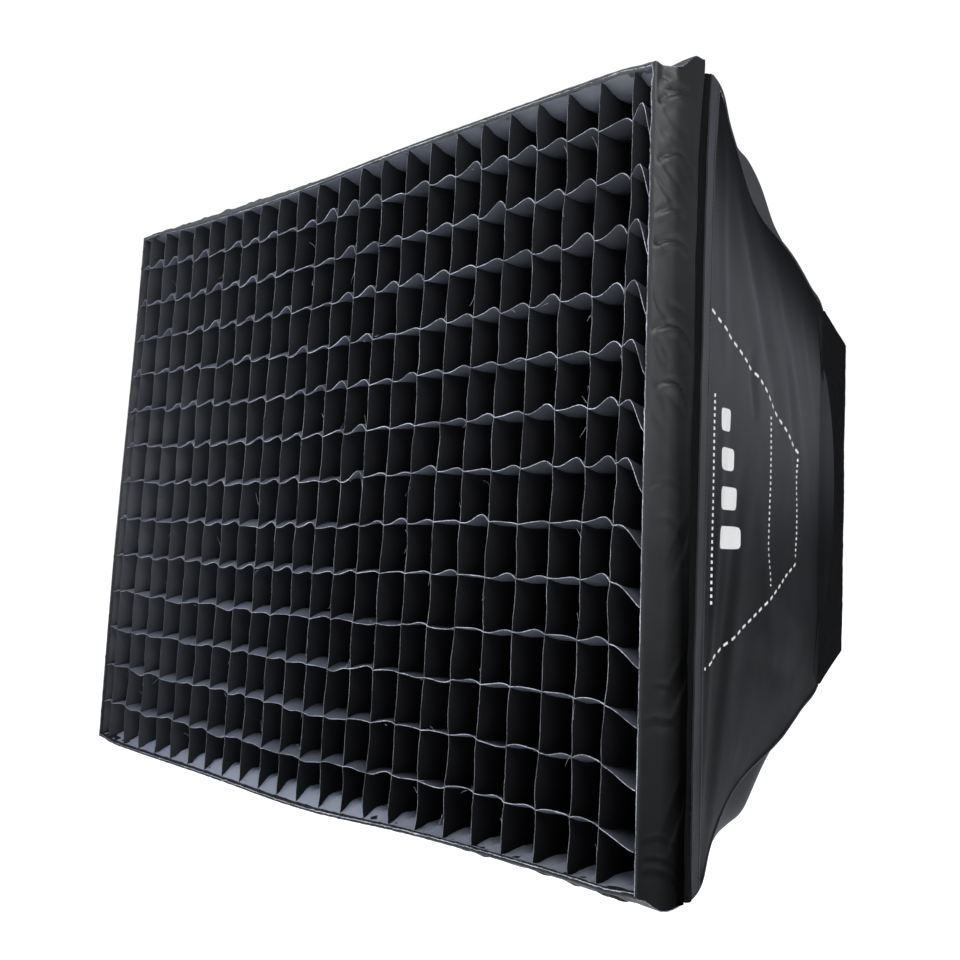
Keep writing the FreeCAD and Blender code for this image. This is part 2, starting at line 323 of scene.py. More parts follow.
def seam_shade(n, place, seam=0.25, low=0.36):
    """Painted shade on the side cloth: darker toward its top seam and toward its bottom."""
    axes = n.node("ShaderNodeSeparateXYZ", {"Vector": place})
    height, depth = axes.outputs["Z"], axes.outputs["Y"]
    half = n.range(depth, SHELL_FRONT.z, SHELL_REAR.z, SHELL_FRONT.y, SHELL_REAR.y)
    share = n.math("DIVIDE", height, half)
    upper, lower = (n.node("ShaderNodeMapRange", {0: share, 1: start, 2: stop, 3: 1.0, 4: level},
                           interpolation_type="SMOOTHSTEP").outputs[0]
                    for start, stop, level in ((0.55, 0.97, seam), (0.40, -0.35, low)))
    return n.math("MULTIPLY", upper, lower)


# Painted shade on the hem: slightly darker toward its top and darker toward its bottom.
def hem_shade(n, place):
    return seam_shade(n, place, 0.9, 0.62)


def depth_shade(n, place):
    """Painted shade on the grid satin: paler toward the front, darker toward the rear of the cells."""
    depth = n.node("ShaderNodeSeparateXYZ", {"Vector": place}).outputs["Y"]
    return n.range(depth, 1.0, 0.18, STRIP_FRONT_Y, STRIP_REAR_Y - 14 * MM)


def cell_shade(n, place):
    """Painted shade for the upright strips: the depth shade, and darker toward the right and the bottom."""
    axes = n.node("ShaderNodeSeparateXYZ", {"Vector": place})
    across = n.range(axes.outputs["X"], 1.0, 0.34, -HALF_X * 0.95, HALF_X * 0.1)
    upward = n.range(axes.outputs["Z"], 0.50, 1.0, -HALF_Z * 0.9, HALF_Z * 0.1)
    return n.math("MULTIPLY", depth_shade(n, place), n.math("MULTIPLY", across, upward))


def row_shade(n, place):
    """Painted shade for the level strips: they darken quickly behind their cut edge, and above mid height
    toward the right.
    """
    axes = n.node("ShaderNodeSeparateXYZ", {"Vector": place})
    depth = n.range(axes.outputs["Y"], 1.0, 0.10, STRIP_FRONT_Y, STRIP_REAR_Y - 16 * MM)
    across = n.range(axes.outputs["X"], 1.0, 0.45, -HALF_X * 0.3, HALF_X * 0.9)
    low = n.range(axes.outputs["Z"], 0.70, 0.0, -HALF_Z * 0.3, 0.0)
    return n.math("MULTIPLY", depth, n.math("MAXIMUM", across, low))


def border_shade(n, place):
    """Painted shade on the border: darker toward its rear, most low down, and darker toward its bottom overall.
    """
    axes = n.node("ShaderNodeSeparateXYZ", {"Vector": place})
    rear = n.range(axes.outputs["Y"], 1.0, 0.0, GRID_FRONT_Y + 16 * MM, SKIRT_REAR_Y - 4 * MM)
    least = n.range(axes.outputs["Z"], 0.12, 0.80, -HALF_Z * 0.4, HALF_Z * 0.5)
    height = n.range(axes.outputs["Z"], 0.42, 1.0, -HALF_Z * 0.9, HALF_Z * 0.1)
    return n.math("MULTIPLY", n.math("MAXIMUM", rear, least), height)


def cloth_material(name, dark, light, rough, threads, sheen, tint, specular=0.4, thread_depth=0.12,
                   crumple=0.35, shade=None):
    """Woven cloth: thread relief, mottled colour, soft creases and uneven sheen. A shade function, if given,
    paints shade into the colour and scales gloss and sheen by its square.
    """
    n = Nodes(name)
    uv = n.node("ShaderNodeUVMap", uv_map="cloth").outputs[0]
    place = n.node("ShaderNodeTexCoord").outputs["Object"]
    threads_height = weave(n, uv, threads)
    mottle = n.noise(place, 9.0, 4.0)
    grain = n.noise(uv, threads * 0.8, 2.0)
    blend = n.math("MULTIPLY_ADD", grain, 0.45)
    n.tree.links.new(n.math("MULTIPLY", mottle, 0.6), blend.node.inputs[2])
    colour, gloss, dust_and_sheen = n.ramp(blend, dark, light), specular, sheen
    if shade is not None:
        # painted shade: darkens the colour, and the gloss and sheen by its square
        level = shade(n, place)
        colour = n.node("ShaderNodeMix", {0: level, 6: (0, 0, 0, 1), 7: colour}, data_type="RGBA").outputs[2]
        square = n.math("MULTIPLY", level, level)
        gloss, dust_and_sheen = n.math("MULTIPLY", square, specular), n.math("MULTIPLY", square, sheen)
    n.set(Base_Color=colour)
    n.set(Roughness=n.range(mottle, rough - 0.07, rough + 0.09, 0.3, 0.7))
    n.set(Specular_IOR_Level=gloss, Sheen_Weight=dust_and_sheen, Sheen_Roughness=0.45)
    n.set(Sheen_Tint=(*tint, 1.0))
    soft = n.noise(place, 55.0, 5.0, 0.6)
    first = n.bump(soft, crumple, 1.2 * MM)
    n.set(Normal=n.bump(threads_height, thread_depth, 0.25 * MM, first))
    return n.material


def pile_material(name, dark, light, tufts):
    """Fuzzy hook-and-loop or fleece pile."""
    n = Nodes(name)
    place = n.node("ShaderNodeTexCoord").outputs["Object"]
    fuzz = n.noise(place, tufts, 6.0, 0.75)
    clumps = n.noise(place, tufts * 0.22, 3.0)
    n.set(Base_Color=n.ramp(n.math("MULTIPLY", fuzz, clumps), dark, light))
    n.set(Roughness=n.range(fuzz, 0.85, 1.0), Specular_IOR_Level=0.06)
    n.set(Sheen_Weight=0.02, Sheen_Roughness=0.7)
    n.set(Normal=n.bump(fuzz, 0.9, 0.8 * MM, n.bump(clumps, 0.5, 1.5 * MM)))
    return n.material


def edge_material(name, dark, light, low):
    """Raw-cut cloth edge, where pale broken threads show; its pale colour is also a painted highlight, and a
    painted shade darkens it toward the left and the bottom.
    """
    n = Nodes(name)
    place = n.node("ShaderNodeTexCoord").outputs["Object"]
    frayed = n.noise(place, 420.0, 4.0, 0.7)
    long = n.noise(place, 26.0, 3.0)
    worn = n.range(n.math("MULTIPLY", frayed, long), 0.0, 1.0, 0.15, 0.40)
    axes = n.node("ShaderNodeSeparateXYZ", {"Vector": place})
    # painted shade: darker toward the left and toward the bottom
    level = n.math("MULTIPLY", n.range(axes.outputs["X"], 0.30, 1.0, -HALF_X, 0.0),
                   n.range(axes.outputs["Z"], low, 1.0, -HALF_Z * 0.9, HALF_Z * 0.1))
    n.set(Base_Color=n.ramp(n.math("MULTIPLY", worn, level), dark, light))
    n.set(Roughness=n.range(frayed, 0.55, 0.95), Specular_IOR_Level=0.3)
    n.set(Normal=n.bump(frayed, 0.8, 0.6 * MM))
    return n.material


def lining_material(name):
    """Silver reflective lining with a fine square weave and crumples."""
    n = Nodes(name)
    uv = n.node("ShaderNodeUVMap", uv_map="cloth").outputs[0]
    place = n.node("ShaderNodeTexCoord").outputs["Object"]
    crumples = n.noise(place, 40.0, 6.0, 0.65)
    n.set(Base_Color=n.ramp(crumples, (0.52, 0.53, 0.54), (0.74, 0.75, 0.76)))
    n.set(Metallic=0.85, Roughness=n.range(crumples, 0.24, 0.48, 0.3, 0.7))
    n.set(Normal=n.bump(weave(n, uv, 900.0), 0.25, 0.3 * MM, n.bump(crumples, 0.6, 2.0 * MM)))
    return n.material


def diffuser_material(name, ripstop):
    """White nylon with a ripstop grid that lets some light through."""
    n = Nodes(name)
    uv = n.node("ShaderNodeUVMap", uv_map="cloth").outputs[0]
    place = n.node("ShaderNodeTexCoord").outputs["Object"]
    inputs = {"Vector": uv, "Scale": 190.0, "Distortion": 0.0}
    cords = [n.node("ShaderNodeTexWave", inputs, bands_direction=d).outputs["Fac"] for d in "XY"]
    cord = n.range(n.math("MAXIMUM", *cords), 0.0, 1.0, 0.86, 1.0)
    stains = n.noise(place, 6.0, 4.0)
    n.set(Base_Color=n.ramp(stains, (0.80, 0.80, 0.79), (0.90, 0.90, 0.89)))
    n.set(Roughness=n.range(stains, 0.55, 0.72), Sheen_Weight=0.15)
    n.set(Subsurface_Weight=0.12, Subsurface_Scale=0.002, Subsurface_Radius=(1.0, 1.0, 1.0))
    height = n.math("MULTIPLY_ADD", cord, ripstop)
    n.tree.links.new(weave(n, uv, 1400.0), height.node.inputs[2])
    n.set(Normal=n.bump(height, 0.3, 0.2 * MM, n.bump(n.noise(place, 18.0, 4.0), 0.3, 3.0 * MM)))
    return n.material


def metal_material(name, dark, light, rough, brushed):
    """Brushed or coated metal: fine scratches along X, smudges and worn specks."""
    n = Nodes(name)
    place = n.node("ShaderNodeTexCoord").outputs["Object"]
    stretch = n.node("ShaderNodeMapping", {"Vector": place, "Scale": (18.0, 900.0, 900.0)}).outputs[0]
    scratches = n.noise(stretch, 1.0, 4.0, 0.6)
    smudges = n.noise(place, 24.0, 4.0)
    n.set(Base_Color=n.ramp(scratches, dark, light), Metallic=1.0)
    roughness = n.math("MULTIPLY_ADD", scratches, brushed)
    n.tree.links.new(n.range(smudges, rough, rough + 0.14, 0.35, 0.7), roughness.node.inputs[2])
    n.set(Roughness=roughness)
    n.set(Normal=n.bump(scratches, 0.12, 0.1 * MM))
    return n.material


def plastic_material(name, dark, light, rough, metallic=0.0):
    """Moulded or powder-coated black: a fine pebble texture with dusty smudges."""
    n = Nodes(name)
    place = n.node("ShaderNodeTexCoord").outputs["Object"]
    pebble = n.noise(place, 1500.0, 3.0, 0.6)
    dust_and_sheen = n.noise(place, 30.0, 5.0, 0.6)
    n.set(Base_Color=n.ramp(n.range(dust_and_sheen, 0.0, 1.0, 0.35, 0.75), dark, light), Metallic=metallic)
    n.set(Roughness=n.range(dust_and_sheen, rough, rough + 0.15, 0.3, 0.7), Specular_IOR_Level=0.45)
    n.set(Normal=n.bump(pebble, 0.35, 0.15 * MM))
    return n.material


def print_material(name, colour):
    """Screen-printed ink, slightly broken by the weave under it."""
    n = Nodes(name)
    uv = n.node("ShaderNodeTexCoord").outputs["Object"]
    speck = n.noise(uv, 900.0, 3.0, 0.7)
    worn = tuple(c * 0.78 for c in colour)
    n.set(Base_Color=n.ramp(n.range(speck, 0.0, 1.0, 0.3, 0.5), worn, colour))
    n.set(Roughness=n.range(speck, 0.45, 0.6), Normal=n.bump(speck, 0.3, 0.2 * MM))
    return n.material


BLUE_SHEEN = (0.55, 0.64, 0.90)
GREY_SHEEN = (0.75, 0.78, 0.85)
# Grid satin, with painted shade from cell_shade.
SATIN = cloth_material("grid_satin", (0.020, 0.0206, 0.0235), (0.066, 0.0680, 0.077), 0.42, 2400.0,
                       0.16, GREY_SHEEN, 0.5, 0.10, 0.25, cell_shade)
# A lighter, bluer copy of the grid satin for the level strips: painted light for the light their faces catch,
# with painted shade from row_shade.
ROW_SATIN = cloth_material("row_satin", (0.028, 0.029, 0.034), (0.080, 0.084, 0.096), 0.34, 2400.0,
                           0.22, BLUE_SHEEN, 0.5, 0.10, 0.2, row_shade)
# A lighter copy of the grid satin for the top inner wall: painted light, with painted shade toward the rear
# from depth_shade.
WALL_SATIN = cloth_material("wall_satin", (0.030, 0.031, 0.037), (0.085, 0.089, 0.102), 0.34, 2400.0,
                            0.24, BLUE_SHEEN, 0.5, 0.10, 0.2, depth_shade)
# A much lighter copy of the grid satin for the bottom inner wall: painted light for its lit top side.
PAINTED_LIGHT_SATIN = cloth_material("painted_light_satin", (0.080, 0.084, 0.096), (0.190, 0.197, 0.220), 0.34, 2400.0,
                             0.30, BLUE_SHEEN, 0.5, 0.10, 0.2)
# Border satin, with painted shade from border_shade.
BORDER_SATIN = cloth_material("border_satin", (0.010, 0.0103, 0.0102), (0.020, 0.0205, 0.0205), 0.42, 1800.0,
                              0.03, GREY_SHEEN, 0.4, 0.12, 0.35, border_shade)
POLYESTER = cloth_material("shell_polyester", (0.012, 0.0125, 0.014), (0.023, 0.0235, 0.026), 0.60, 1100.0,
                           0.05, GREY_SHEEN, 0.25, 0.25, 0.25)
# A copy of the shell polyester for the side panels, with painted shade toward the top seam and the bottom.
SIDE_POLYESTER = cloth_material("side_polyester", (0.013, 0.0135, 0.015), (0.026, 0.0265, 0.029), 0.60, 1100.0,
                                0.06, GREY_SHEEN, 0.25, 0.25, 0.25, seam_shade)
# A lighter copy of the shell polyester for the hem: painted light for the light it catches, with painted shade
# from hem_shade.
HEM_POLYESTER = cloth_material("hem_polyester", (0.015, 0.0155, 0.018), (0.030, 0.031, 0.034), 0.58, 1100.0,
                               0.07, GREY_SHEEN, 0.3, 0.3, 0.2, hem_shade)
WEBBING = cloth_material("seam_webbing", (0.008, 0.008, 0.010), (0.022, 0.022, 0.025), 0.60, 900.0,
                         0.05, GREY_SHEEN, 0.3, 0.4, 0.2)
CORD = cloth_material("elastic_cord", (0.03, 0.03, 0.035), (0.10, 0.10, 0.11), 0.7, 1600.0,
                      0.10, GREY_SHEEN, 0.3, 0.6, 0.1)
# Cut-edge colours: pale threads partly and painted highlight partly, with painted shade toward the left and the
# bottom; the dim one is for the upright strips.
RAW_EDGE = edge_material("raw_edge", (0.04, 0.04, 0.046), (0.48, 0.49, 0.53), 0.85)
DIM_EDGE = edge_material("dim_edge", (0.015, 0.015, 0.018), (0.27, 0.274, 0.292), 0.60)
SILVER = lining_material("silver_lining")
WHITE_NYLON = diffuser_material("white_ripstop", 0.6)
BAFFLE_NYLON = diffuser_material("baffle_nylon", 0.0)
PILE = pile_material("black_pile", (0.0005, 0.0005, 0.0005), (0.004, 0.004, 0.0045), 700.0)
FLEECE = pile_material("collar_fleece", (0.0006, 0.0006, 0.0006), (0.004, 0.004, 0.0045), 520.0)
GREY_FUZZ = pile_material("grey_fuzz", (0.10, 0.10, 0.11), (0.45, 0.45, 0.47), 900.0)
WHITE_INK = print_material("white_ink", (0.80, 0.79, 0.75))


# ---------------------------------------------------------------- shell shape
DEPTH = SHELL_REAR.y - SHELL_FRONT.y


def shell_at(s):
    """Half width, depth and half height of the shell, s from 0 at the rear to 1 at the front."""
    taper = np.maximum(s, 0)
    over = 2.8 * MM * smoothstep(-s * DEPTH / (6 * MM))
    hx = SHELL_REAR.x + (SHELL_FRONT.x - SHELL_REAR.x) * taper + over
    hz = SHELL_REAR.z + (SHELL_FRONT.z - SHELL_REAR.z) * taper + over
    return hx, SHELL_REAR.y - DEPTH * s, hz


def seam_pull(s, low=False):
    """How far a corner seam stands inside the straight line: hollow at mid depth, proud by the tips."""
    amount, centre, wide = (13.5, 0.65, 0.25) if low else (12.5, 0.57, 0.21)
    shoulder = 6.0 * MM * bell(s, 0.08, 0.95)
    return amount * MM * bell(s, wide, centre) - shoulder - 2.0 * MM * bell(s, 0.06, 0.05)


def collar_line(a):
    """Depth of the line where the shell fabric ends on the collar flap, a from -1 to 1."""
    return SHELL_REAR.y + 21 * MM - 44 * MM * np.abs(a) ** 2.3


def fold_line(h, z, start, end, wide, deep):
    """A soft fold from start to end, each (metres behind the hem, metres up)."""
    start, end = np.array(start), np.array(end)
    along = end - start
    length = np.linalg.norm(along)
    along = along / length
    u = ((h - start[0]) * along[0] + (z - start[1]) * along[1]) / length
    q = -(h - start[0]) * along[1] + (z - start[1]) * along[0]
    fade = np.sin(math.pi * np.clip(u, 0, 1)) ** 0.6
    return deep * fade * (bell(q, wide) - 0.5 * bell(q, 1.3 * wide, 1.8 * wide))


SIDE_FOLDS = [
    ((0.060, 0.06), (0.014, -0.34), 0.010, 3.6), ((0.115, 0.02), (0.030, -0.35), 0.013, -2.6),
    ((0.030, 0.02), (0.010, -0.33), 0.006, 1.6), ((0.020, 0.34), (0.200, 0.07), 0.020, 3.0),
    ((0.090, 0.30), (0.260, 0.02), 0.016, -2.4), ((0.200, 0.23), (0.345, 0.00), 0.014, 2.4),
    ((0.130, 0.13), (0.150, 0.06), 0.008, -2.0), ((0.240, 0.16), (0.330, -0.06), 0.010, -1.6),
    ((0.180, -0.08), (0.330, -0.16), 0.018, 2.2), ((0.120, -0.16), (0.300, -0.20), 0.014, -1.8),
    ((0.040, 0.33), (0.060, 0.10), 0.010, 2.2), ((0.160, -0.02), (0.230, -0.19), 0.016, 1.8),
    ((0.300, 0.19), (0.372, 0.06), 0.009, 1.8), ((0.290, -0.05), (0.365, -0.15), 0.010, -1.4),
]


def panel_points(side, s, a, lift=0.0):
    """Outer surface of a shell panel. a runs from -1 to 1 between its two seams."""
    s, a = np.broadcast_arrays(np.asarray(s, float), np.asarray(a, float))
    hx, y, hz = shell_at(s)
    sideways = side in UPRIGHT
    down = smoothstep((0.3 - a) / 0.6) if sideways else float(side == "bottom")
    sag = seam_pull(s) * (1 - down) + seam_pull(s, True) * down
    half, out = (hz, hx) if sideways else (hx, hz)
    gap = (1 - np.abs(a)) * half
    along = a * (half - sag)
    inside = 1 - np.exp(-gap / 0.02)
    body = np.clip(s, 0, 1)
    swell = 3.0 * MM * np.sin(math.pi * body) * (1 - a * a)
    if not sideways:
        high, centre = (16 * MM, 0.585) if side == "top" else (15 * MM, 0.60)
        pouch = high * bell(s, 0.16, centre)
        swell = swell + pouch * bell(gap, 0.018, 0.010)
        inside = 1 - np.exp(-gap / 0.003)
        along = along + np.sign(a) * 0.9 * pouch * inside * bell(gap, 0.03)
    place = np.stack([along, y, out], -1)
    seed = {"left": 3.1, "right": 8.4, "top": 14.2, "bottom": 21.7}[side]
    soft = 1.6 * MM * field(place, (6.0, 9.0, 6.0), seed)
    soft = soft + 0.5 * MM * field(place, (22.0, 30.0, 22.0), seed + 4)
    hem = (1 - s) * DEPTH
    if sideways:
        for start, end, wide, deep in SIDE_FOLDS:
            soft = soft + fold_line(hem, along, start, end, wide, 1.45 * deep * MM)
    else:
        across = 0.030 * np.sin(along * 9.0 + seed)
        for at, wide, deep in ((0.050, 0.010, 2.0), (0.130, 0.022, 2.4), (0.240, 0.026, -2.2)):
            soft = soft + deep * MM * bell(hem - at - across, wide)
    falloff = 0.045 if sideways else np.where(sag > 0, 0.0025, 0.020)
    calm = np.sin(math.pi * np.clip(body, 0.0, 0.97)) ** 0.4
    offset = out - sag * np.exp(-gap / falloff) + (swell + soft * calm) * inside + lift
    return placed(along, y + 0 * a, outward(side) * offset, sideways)


def panel_grid(side, s0, s1, a0, a1, step, lift=0.0, to_collar=False):
    """Grid of panel points with metric UVs, ordered so that its normals point outward."""
    half = SHELL_FRONT.z if side in UPRIGHT else SHELL_FRONT.x
    ns = max(int(abs(s1 - s0) * DEPTH / step), 2) + 1
    na = int(abs(a1 - a0) * half / step) + 1
    across = np.linspace(a0, a1, na)
    if side in ("top", "bottom"):
        across = 1.4 * across - 0.4 * across ** 3
    k, a = np.meshgrid(np.linspace(0, 1, ns), across, indexing="ij")
    start = np.minimum(0, (SHELL_REAR.y - collar_line(a)) / DEPTH) if to_collar else s0
    s = start + (s1 - start) * k
    uv = np.stack([s * DEPTH, a * half], -1)
    return face_out(panel_points(side, s, a, lift), uv, axis=1)


def stitches(piece, side, a0, a1, s, slot, length=2.6 * MM, gap=1.4 * MM, lift=1.5 * MM):
    """A row of thread stitches across a panel at depth s."""
    half = SHELL_FRONT.z if side in UPRIGHT else SHELL_FRONT.x
    count = int((a1 - a0) * half / (length + gap))
    a = a0 + (a1 - a0) * (np.arange(count) + 0.5) / count
    da, ds = length / 2 / half, 0.45 * MM / DEPTH
    corners = [panel_points(side, s + u * ds, a + v * da, lift)
               for u, v in ((-1, -1), (1, -1), (1, 1), (-1, 1))]
    flip = 1 if side in ("left", "bottom") else -1
    for k in range(count):
        piece.slab([c[k] for c in corners][::flip], 0.35 * MM, slot)


def arm_edge(y, edge):
    """Weight and folded height of the seam at depth y and height edge, for the upper rods' turn."""
    weight = smoothstep((SHELL_REAR.y - y) / BEND_DEPTH)
    turn = FOLD * weight
    dy, dz = y - PIVOT.y, edge - PIVOT.z
    return weight, PIVOT.z + dy * np.sin(turn) + dz * np.cos(turn)


def bend_over(obj):
    """Bakes a piece's transform into its mesh."""
    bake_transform(obj)


def fold_side(obj, body):
    """Bakes the transform of half a side panel; the weights it works out for folding it between the two rod
    sets are not applied.
    """
    rear_y, sign = SHELL_REAR.y, 1 if body == "upper_arms" else -1
    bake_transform(obj)
    co = np.array([v.co for v in obj.data.vertices], float).reshape(-1, 3)
    s = (rear_y - co[:, 1]) / DEPTH
    edge = np.where(s > 1, np.abs(co[:, 2]).max(), shell_at(s)[2])
    share = np.clip(np.abs(co[:, 2]) / edge, 0, 1)
    seam_weight, seam_height = arm_edge(co[:, 1], edge)
    dy, dz = co[:, 1] - PIVOT.y, np.abs(co[:, 2]) - PIVOT.z
    radius = np.maximum(np.hypot(dy, dz), 1e-6)
    rest = np.arctan2(dz, -dy)
    target = np.arcsin(np.clip((share * seam_height - PIVOT.z) / radius, -1, 1))
    weight = np.clip((rest - target) / FOLD, 0, 1)
    weight = np.where(co[:, 1] > PIVOT.y, 0, np.minimum(weight, np.maximum(seam_weight, 0)))
    return obj


# ---------------------------------------------------------------- shell pieces
HEM = 17 * MM / DEPTH


def hem_band(piece, side, a0, a1):
    """Turned and stitched hem along a panel's front edge."""
    points, uv = panel_grid(side, 1 - HEM, 1 + HEM * 0.12, a0, a1, 3 * MM, 1.9 * MM)
    ripple = 0.5 * MM * field(points, (30.0, 8.0, 30.0), 2.0)
    points = points + normals(points) * ripple[..., None]
    piece.sheet(points, uv, HEM_THICK, (3, 3, 2))
    stitches(piece, side, a0, a1, 1 - HEM * 0.8, 2, lift=2.1 * MM)


def shell_panels():
    materials = [POLYESTER, SILVER, WEBBING, HEM_POLYESTER]
    for side, body in (("top", "upper_arms"), ("bottom", "lower_arms")):
        piece = Piece()
        points, uv = panel_grid(side, 0, 1, -1, 1, 4.4 * MM, to_collar=True)
        piece.sheet(points, uv, PANEL_THICK, (0, 1, 2))
        hem_band(piece, side, -1, 1)
        obj = piece.make("shell_" + side, materials, "outer_fabric")
        bend_over(obj)
        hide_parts("panel_" + side)
    for side in UPRIGHT:
        for half, body, a0, a1 in (("upper", "upper_arms", 0, 1), ("lower", "lower_arms", -1, 0)):
            piece = Piece()
            points, uv = panel_grid(side, 0, 1, a0, a1, 3.0 * MM, to_collar=True)
            piece.sheet(points, uv, PANEL_THICK, (0, 1, 2))
            hem_band(piece, side, a0, a1)
            if side == "right":
                printed_pattern(piece, a0, a1)
            # The side panels take the polyester copy with painted seam shade.
            inks = [SIDE_POLYESTER] + materials[1:] + [WHITE_INK]
            obj = piece.make("shell_" + side + "_" + half, inks, "outer_fabric")
            fold_side(obj, body)
            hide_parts("panel_" + side)


def seam_piping():
    for half, body, sz in (("upper", "upper_arms", 1), ("lower", "lower_arms", -1)):
        piece = Piece()
        s = np.linspace(0.0, 1.0, 110)
        hx, y, hz = shell_at(s)
        sag = seam_pull(s, sz < 0)
        for sx in (-1, 1):
            path = np.stack([sx * (hx - sag + 0.5 * MM), y, sz * (hz - sag + 0.5 * MM)], -1)
            wander = 0.5 * MM * field(path, 24.0, 4.0)
            path = path + wander[:, None] * np.array([sx, 0, sz])
            piece.tube(path, 1.3 * MM, 8, 0)
        obj = piece.make(half + "_seam_piping", [WEBBING], "edge_fabric")
        bend_over(obj)
        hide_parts(half + "_piping")


def printed_pattern(piece, a0, a1):
    """Generic printed decoration: four plain bars of growing length inside a tapered frame of dashes."""
    def surface(h, z, lift):
        s = 1 - h / DEPTH
        half_height = shell_at(s)[2] - seam_pull(s, z.mean() < 0)
        return panel_points("right", s, z / half_height, lift)

    def patch(h, z):
        """Ink over a grid of (h, z) points, if its middle belongs to this half of the panel."""
        if a0 <= z.mean() <= a1 or a0 <= z.mean() * 0.999 <= a1:
            points = surface(h, z, 0.32 * MM)
            uv = np.stack([h, z], -1)
            if normals(points)[0, 0, 0] < 0:
                points, uv = points[::-1], uv[::-1]
            piece.sheet(points, uv, 0.5 * MM, (4, 4, 4))

    def bar(h, z, half_h, half_z):
        p, q = np.meshgrid(np.linspace(-1, 1, 9), np.linspace(-1, 1, 7), indexing="ij")
        corner = 1 - 0.10 * (np.abs(p) * np.abs(q)) ** 5
        patch(h + half_h * p * corner, z + half_z * q * corner)

    def dashed(path):
        path = np.array(path, float)
        at = np.concatenate([[0], np.cumsum(np.linalg.norm(np.diff(path, axis=0), axis=1))])
        d = 0.0
        while d < at[-1]:
            here, ahead = ([np.interp(t, at, path[:, k]) for k in (0, 1)] for t in (d, d + 1 * MM))
            level, upright = np.abs(np.array(ahead) - here) / max(np.linalg.norm(np.array(ahead) - here), 1e-9)
            length, wide = (7.5 * level + 3.0 * upright) * MM, (1.5 * level + 3.4 * upright) * MM
            ends = np.array([[np.interp(t, at, path[:, k]) for k in (0, 1)] for t in (d, d + length)])
            along = (ends[1] - ends[0]) / max(np.linalg.norm(ends[1] - ends[0]), 1e-9)
            across = np.array([-along[1], along[0]]) * wide / 2
            grid = np.array([[e + across * w for w in (-1, 1)] for e in ends])
            patch(grid[..., 0], grid[..., 1])
            d += length * 2.0

    for k in range(4):
        half = 0.012 + 0.006 * k
        bar(0.052 + half, 0.054 - 0.036 * k, half, 0.0105)
    dashed([(0.022, 0.150), (0.170, 0.098), (0.300, 0.040)])
    dashed([(0.300, 0.034), (0.300, -0.072)])
    dashed([(0.300, -0.078), (0.170, -0.124), (0.022, -0.170)])
    dashed([(0.200, 0.070), (0.200, -0.100)])
    dashed([(0.034, 0.075), (0.034, -0.115)])
    dashed([(0.016, 0.205), (0.016, 0.158)])


def rectangle_ring(piece, profile, half_x, half_z, step, shape=None, slots=(0, 0, 0), thick=1 * MM,
                   short=0.0, part=0):
    """Sweeps a profile of (outward offset, y) points round a rectangle, mitred unless it stops short.
    Part 1 makes its upper half only, part -1 its lower half."""
    profile = np.array(profile, float)
    run = np.concatenate([[0], np.cumsum(np.linalg.norm(np.diff(profile, axis=0), axis=1))])
    for side in ("top", "right", "bottom", "left"):
        level = side in ("top", "bottom")
        if part and level and side != ("top" if part > 0 else "bottom"):
            continue
        half = half_x if level else half_z
        out = half_z if level else half_x
        first, last = (-1, 1) if level or not part else (min(part, 0), max(part, 0))
        along = np.linspace(first, last, int((last - first) * half / step) + 1) * (1 - short / half)
        t, k = np.meshgrid(along, np.arange(len(profile)), indexing="ij")
        offset, y = profile[k, 0], profile[k, 1]

        def place(off, deep, t=t, level=level, half=half, out=out, sign=outward(side)):
            return placed(t * (half + off), deep, sign * (out + off), not level)

        if shape is not None:
            d_off, d_y = shape(place(offset, y), side, profile[k], t)
            offset, y = offset + d_off, y + d_y
        points = place(offset, y)
        uv = np.stack([t * half, run[k]], -1)
        if side in ("top", "left"):
            points, uv = points[::-1], uv[::-1]
        piece.sheet(points, uv, thick, slots)


def smooth_profile(points, steps):
    """Rounded polyline through the given points (Catmull-Rom), open at both ends."""
    pts = np.array(points, float)
    ext = np.vstack([2 * pts[0] - pts[1], pts, 2 * pts[-1] - pts[-2]])
    made = []
    for k in range(len(pts) - 1):
        p0, p1, p2, p3 = ext[k : k + 4]
        for t in np.linspace(0, 1, steps, endpoint=False):
            made.append(0.5 * (2 * p1 + (p2 - p0) * t + (2 * p0 - 5 * p1 + 4 * p2 - p3) * t * t
                               + (3 * p1 - p0 - 3 * p2 + p3) * t ** 3))
    made.append(pts[-1])
    return np.array(made)


def squash_flat(obj, body, *nodes, keep=FOLD_KEEP):
    """Rides a soft piece on a body, gives it its own mesh, and stands it in for CAD nodes."""
    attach(obj, body)
    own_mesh(obj)
    if nodes:
        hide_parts(*nodes)


def band_profile(first_y, last_y, count):
    """Profile of a flat band that runs from one depth to another."""
    return [(0.0, y) for y in np.linspace(first_y, last_y, count)]


def fuzzy(deep, scale, seed, sunk=0.0):
    """Shape of a fuzzy or rippled band, for rectangle_ring."""
    return lambda p, *_: (deep * MM * field(p, scale, seed) - sunk * MM, 0.0)


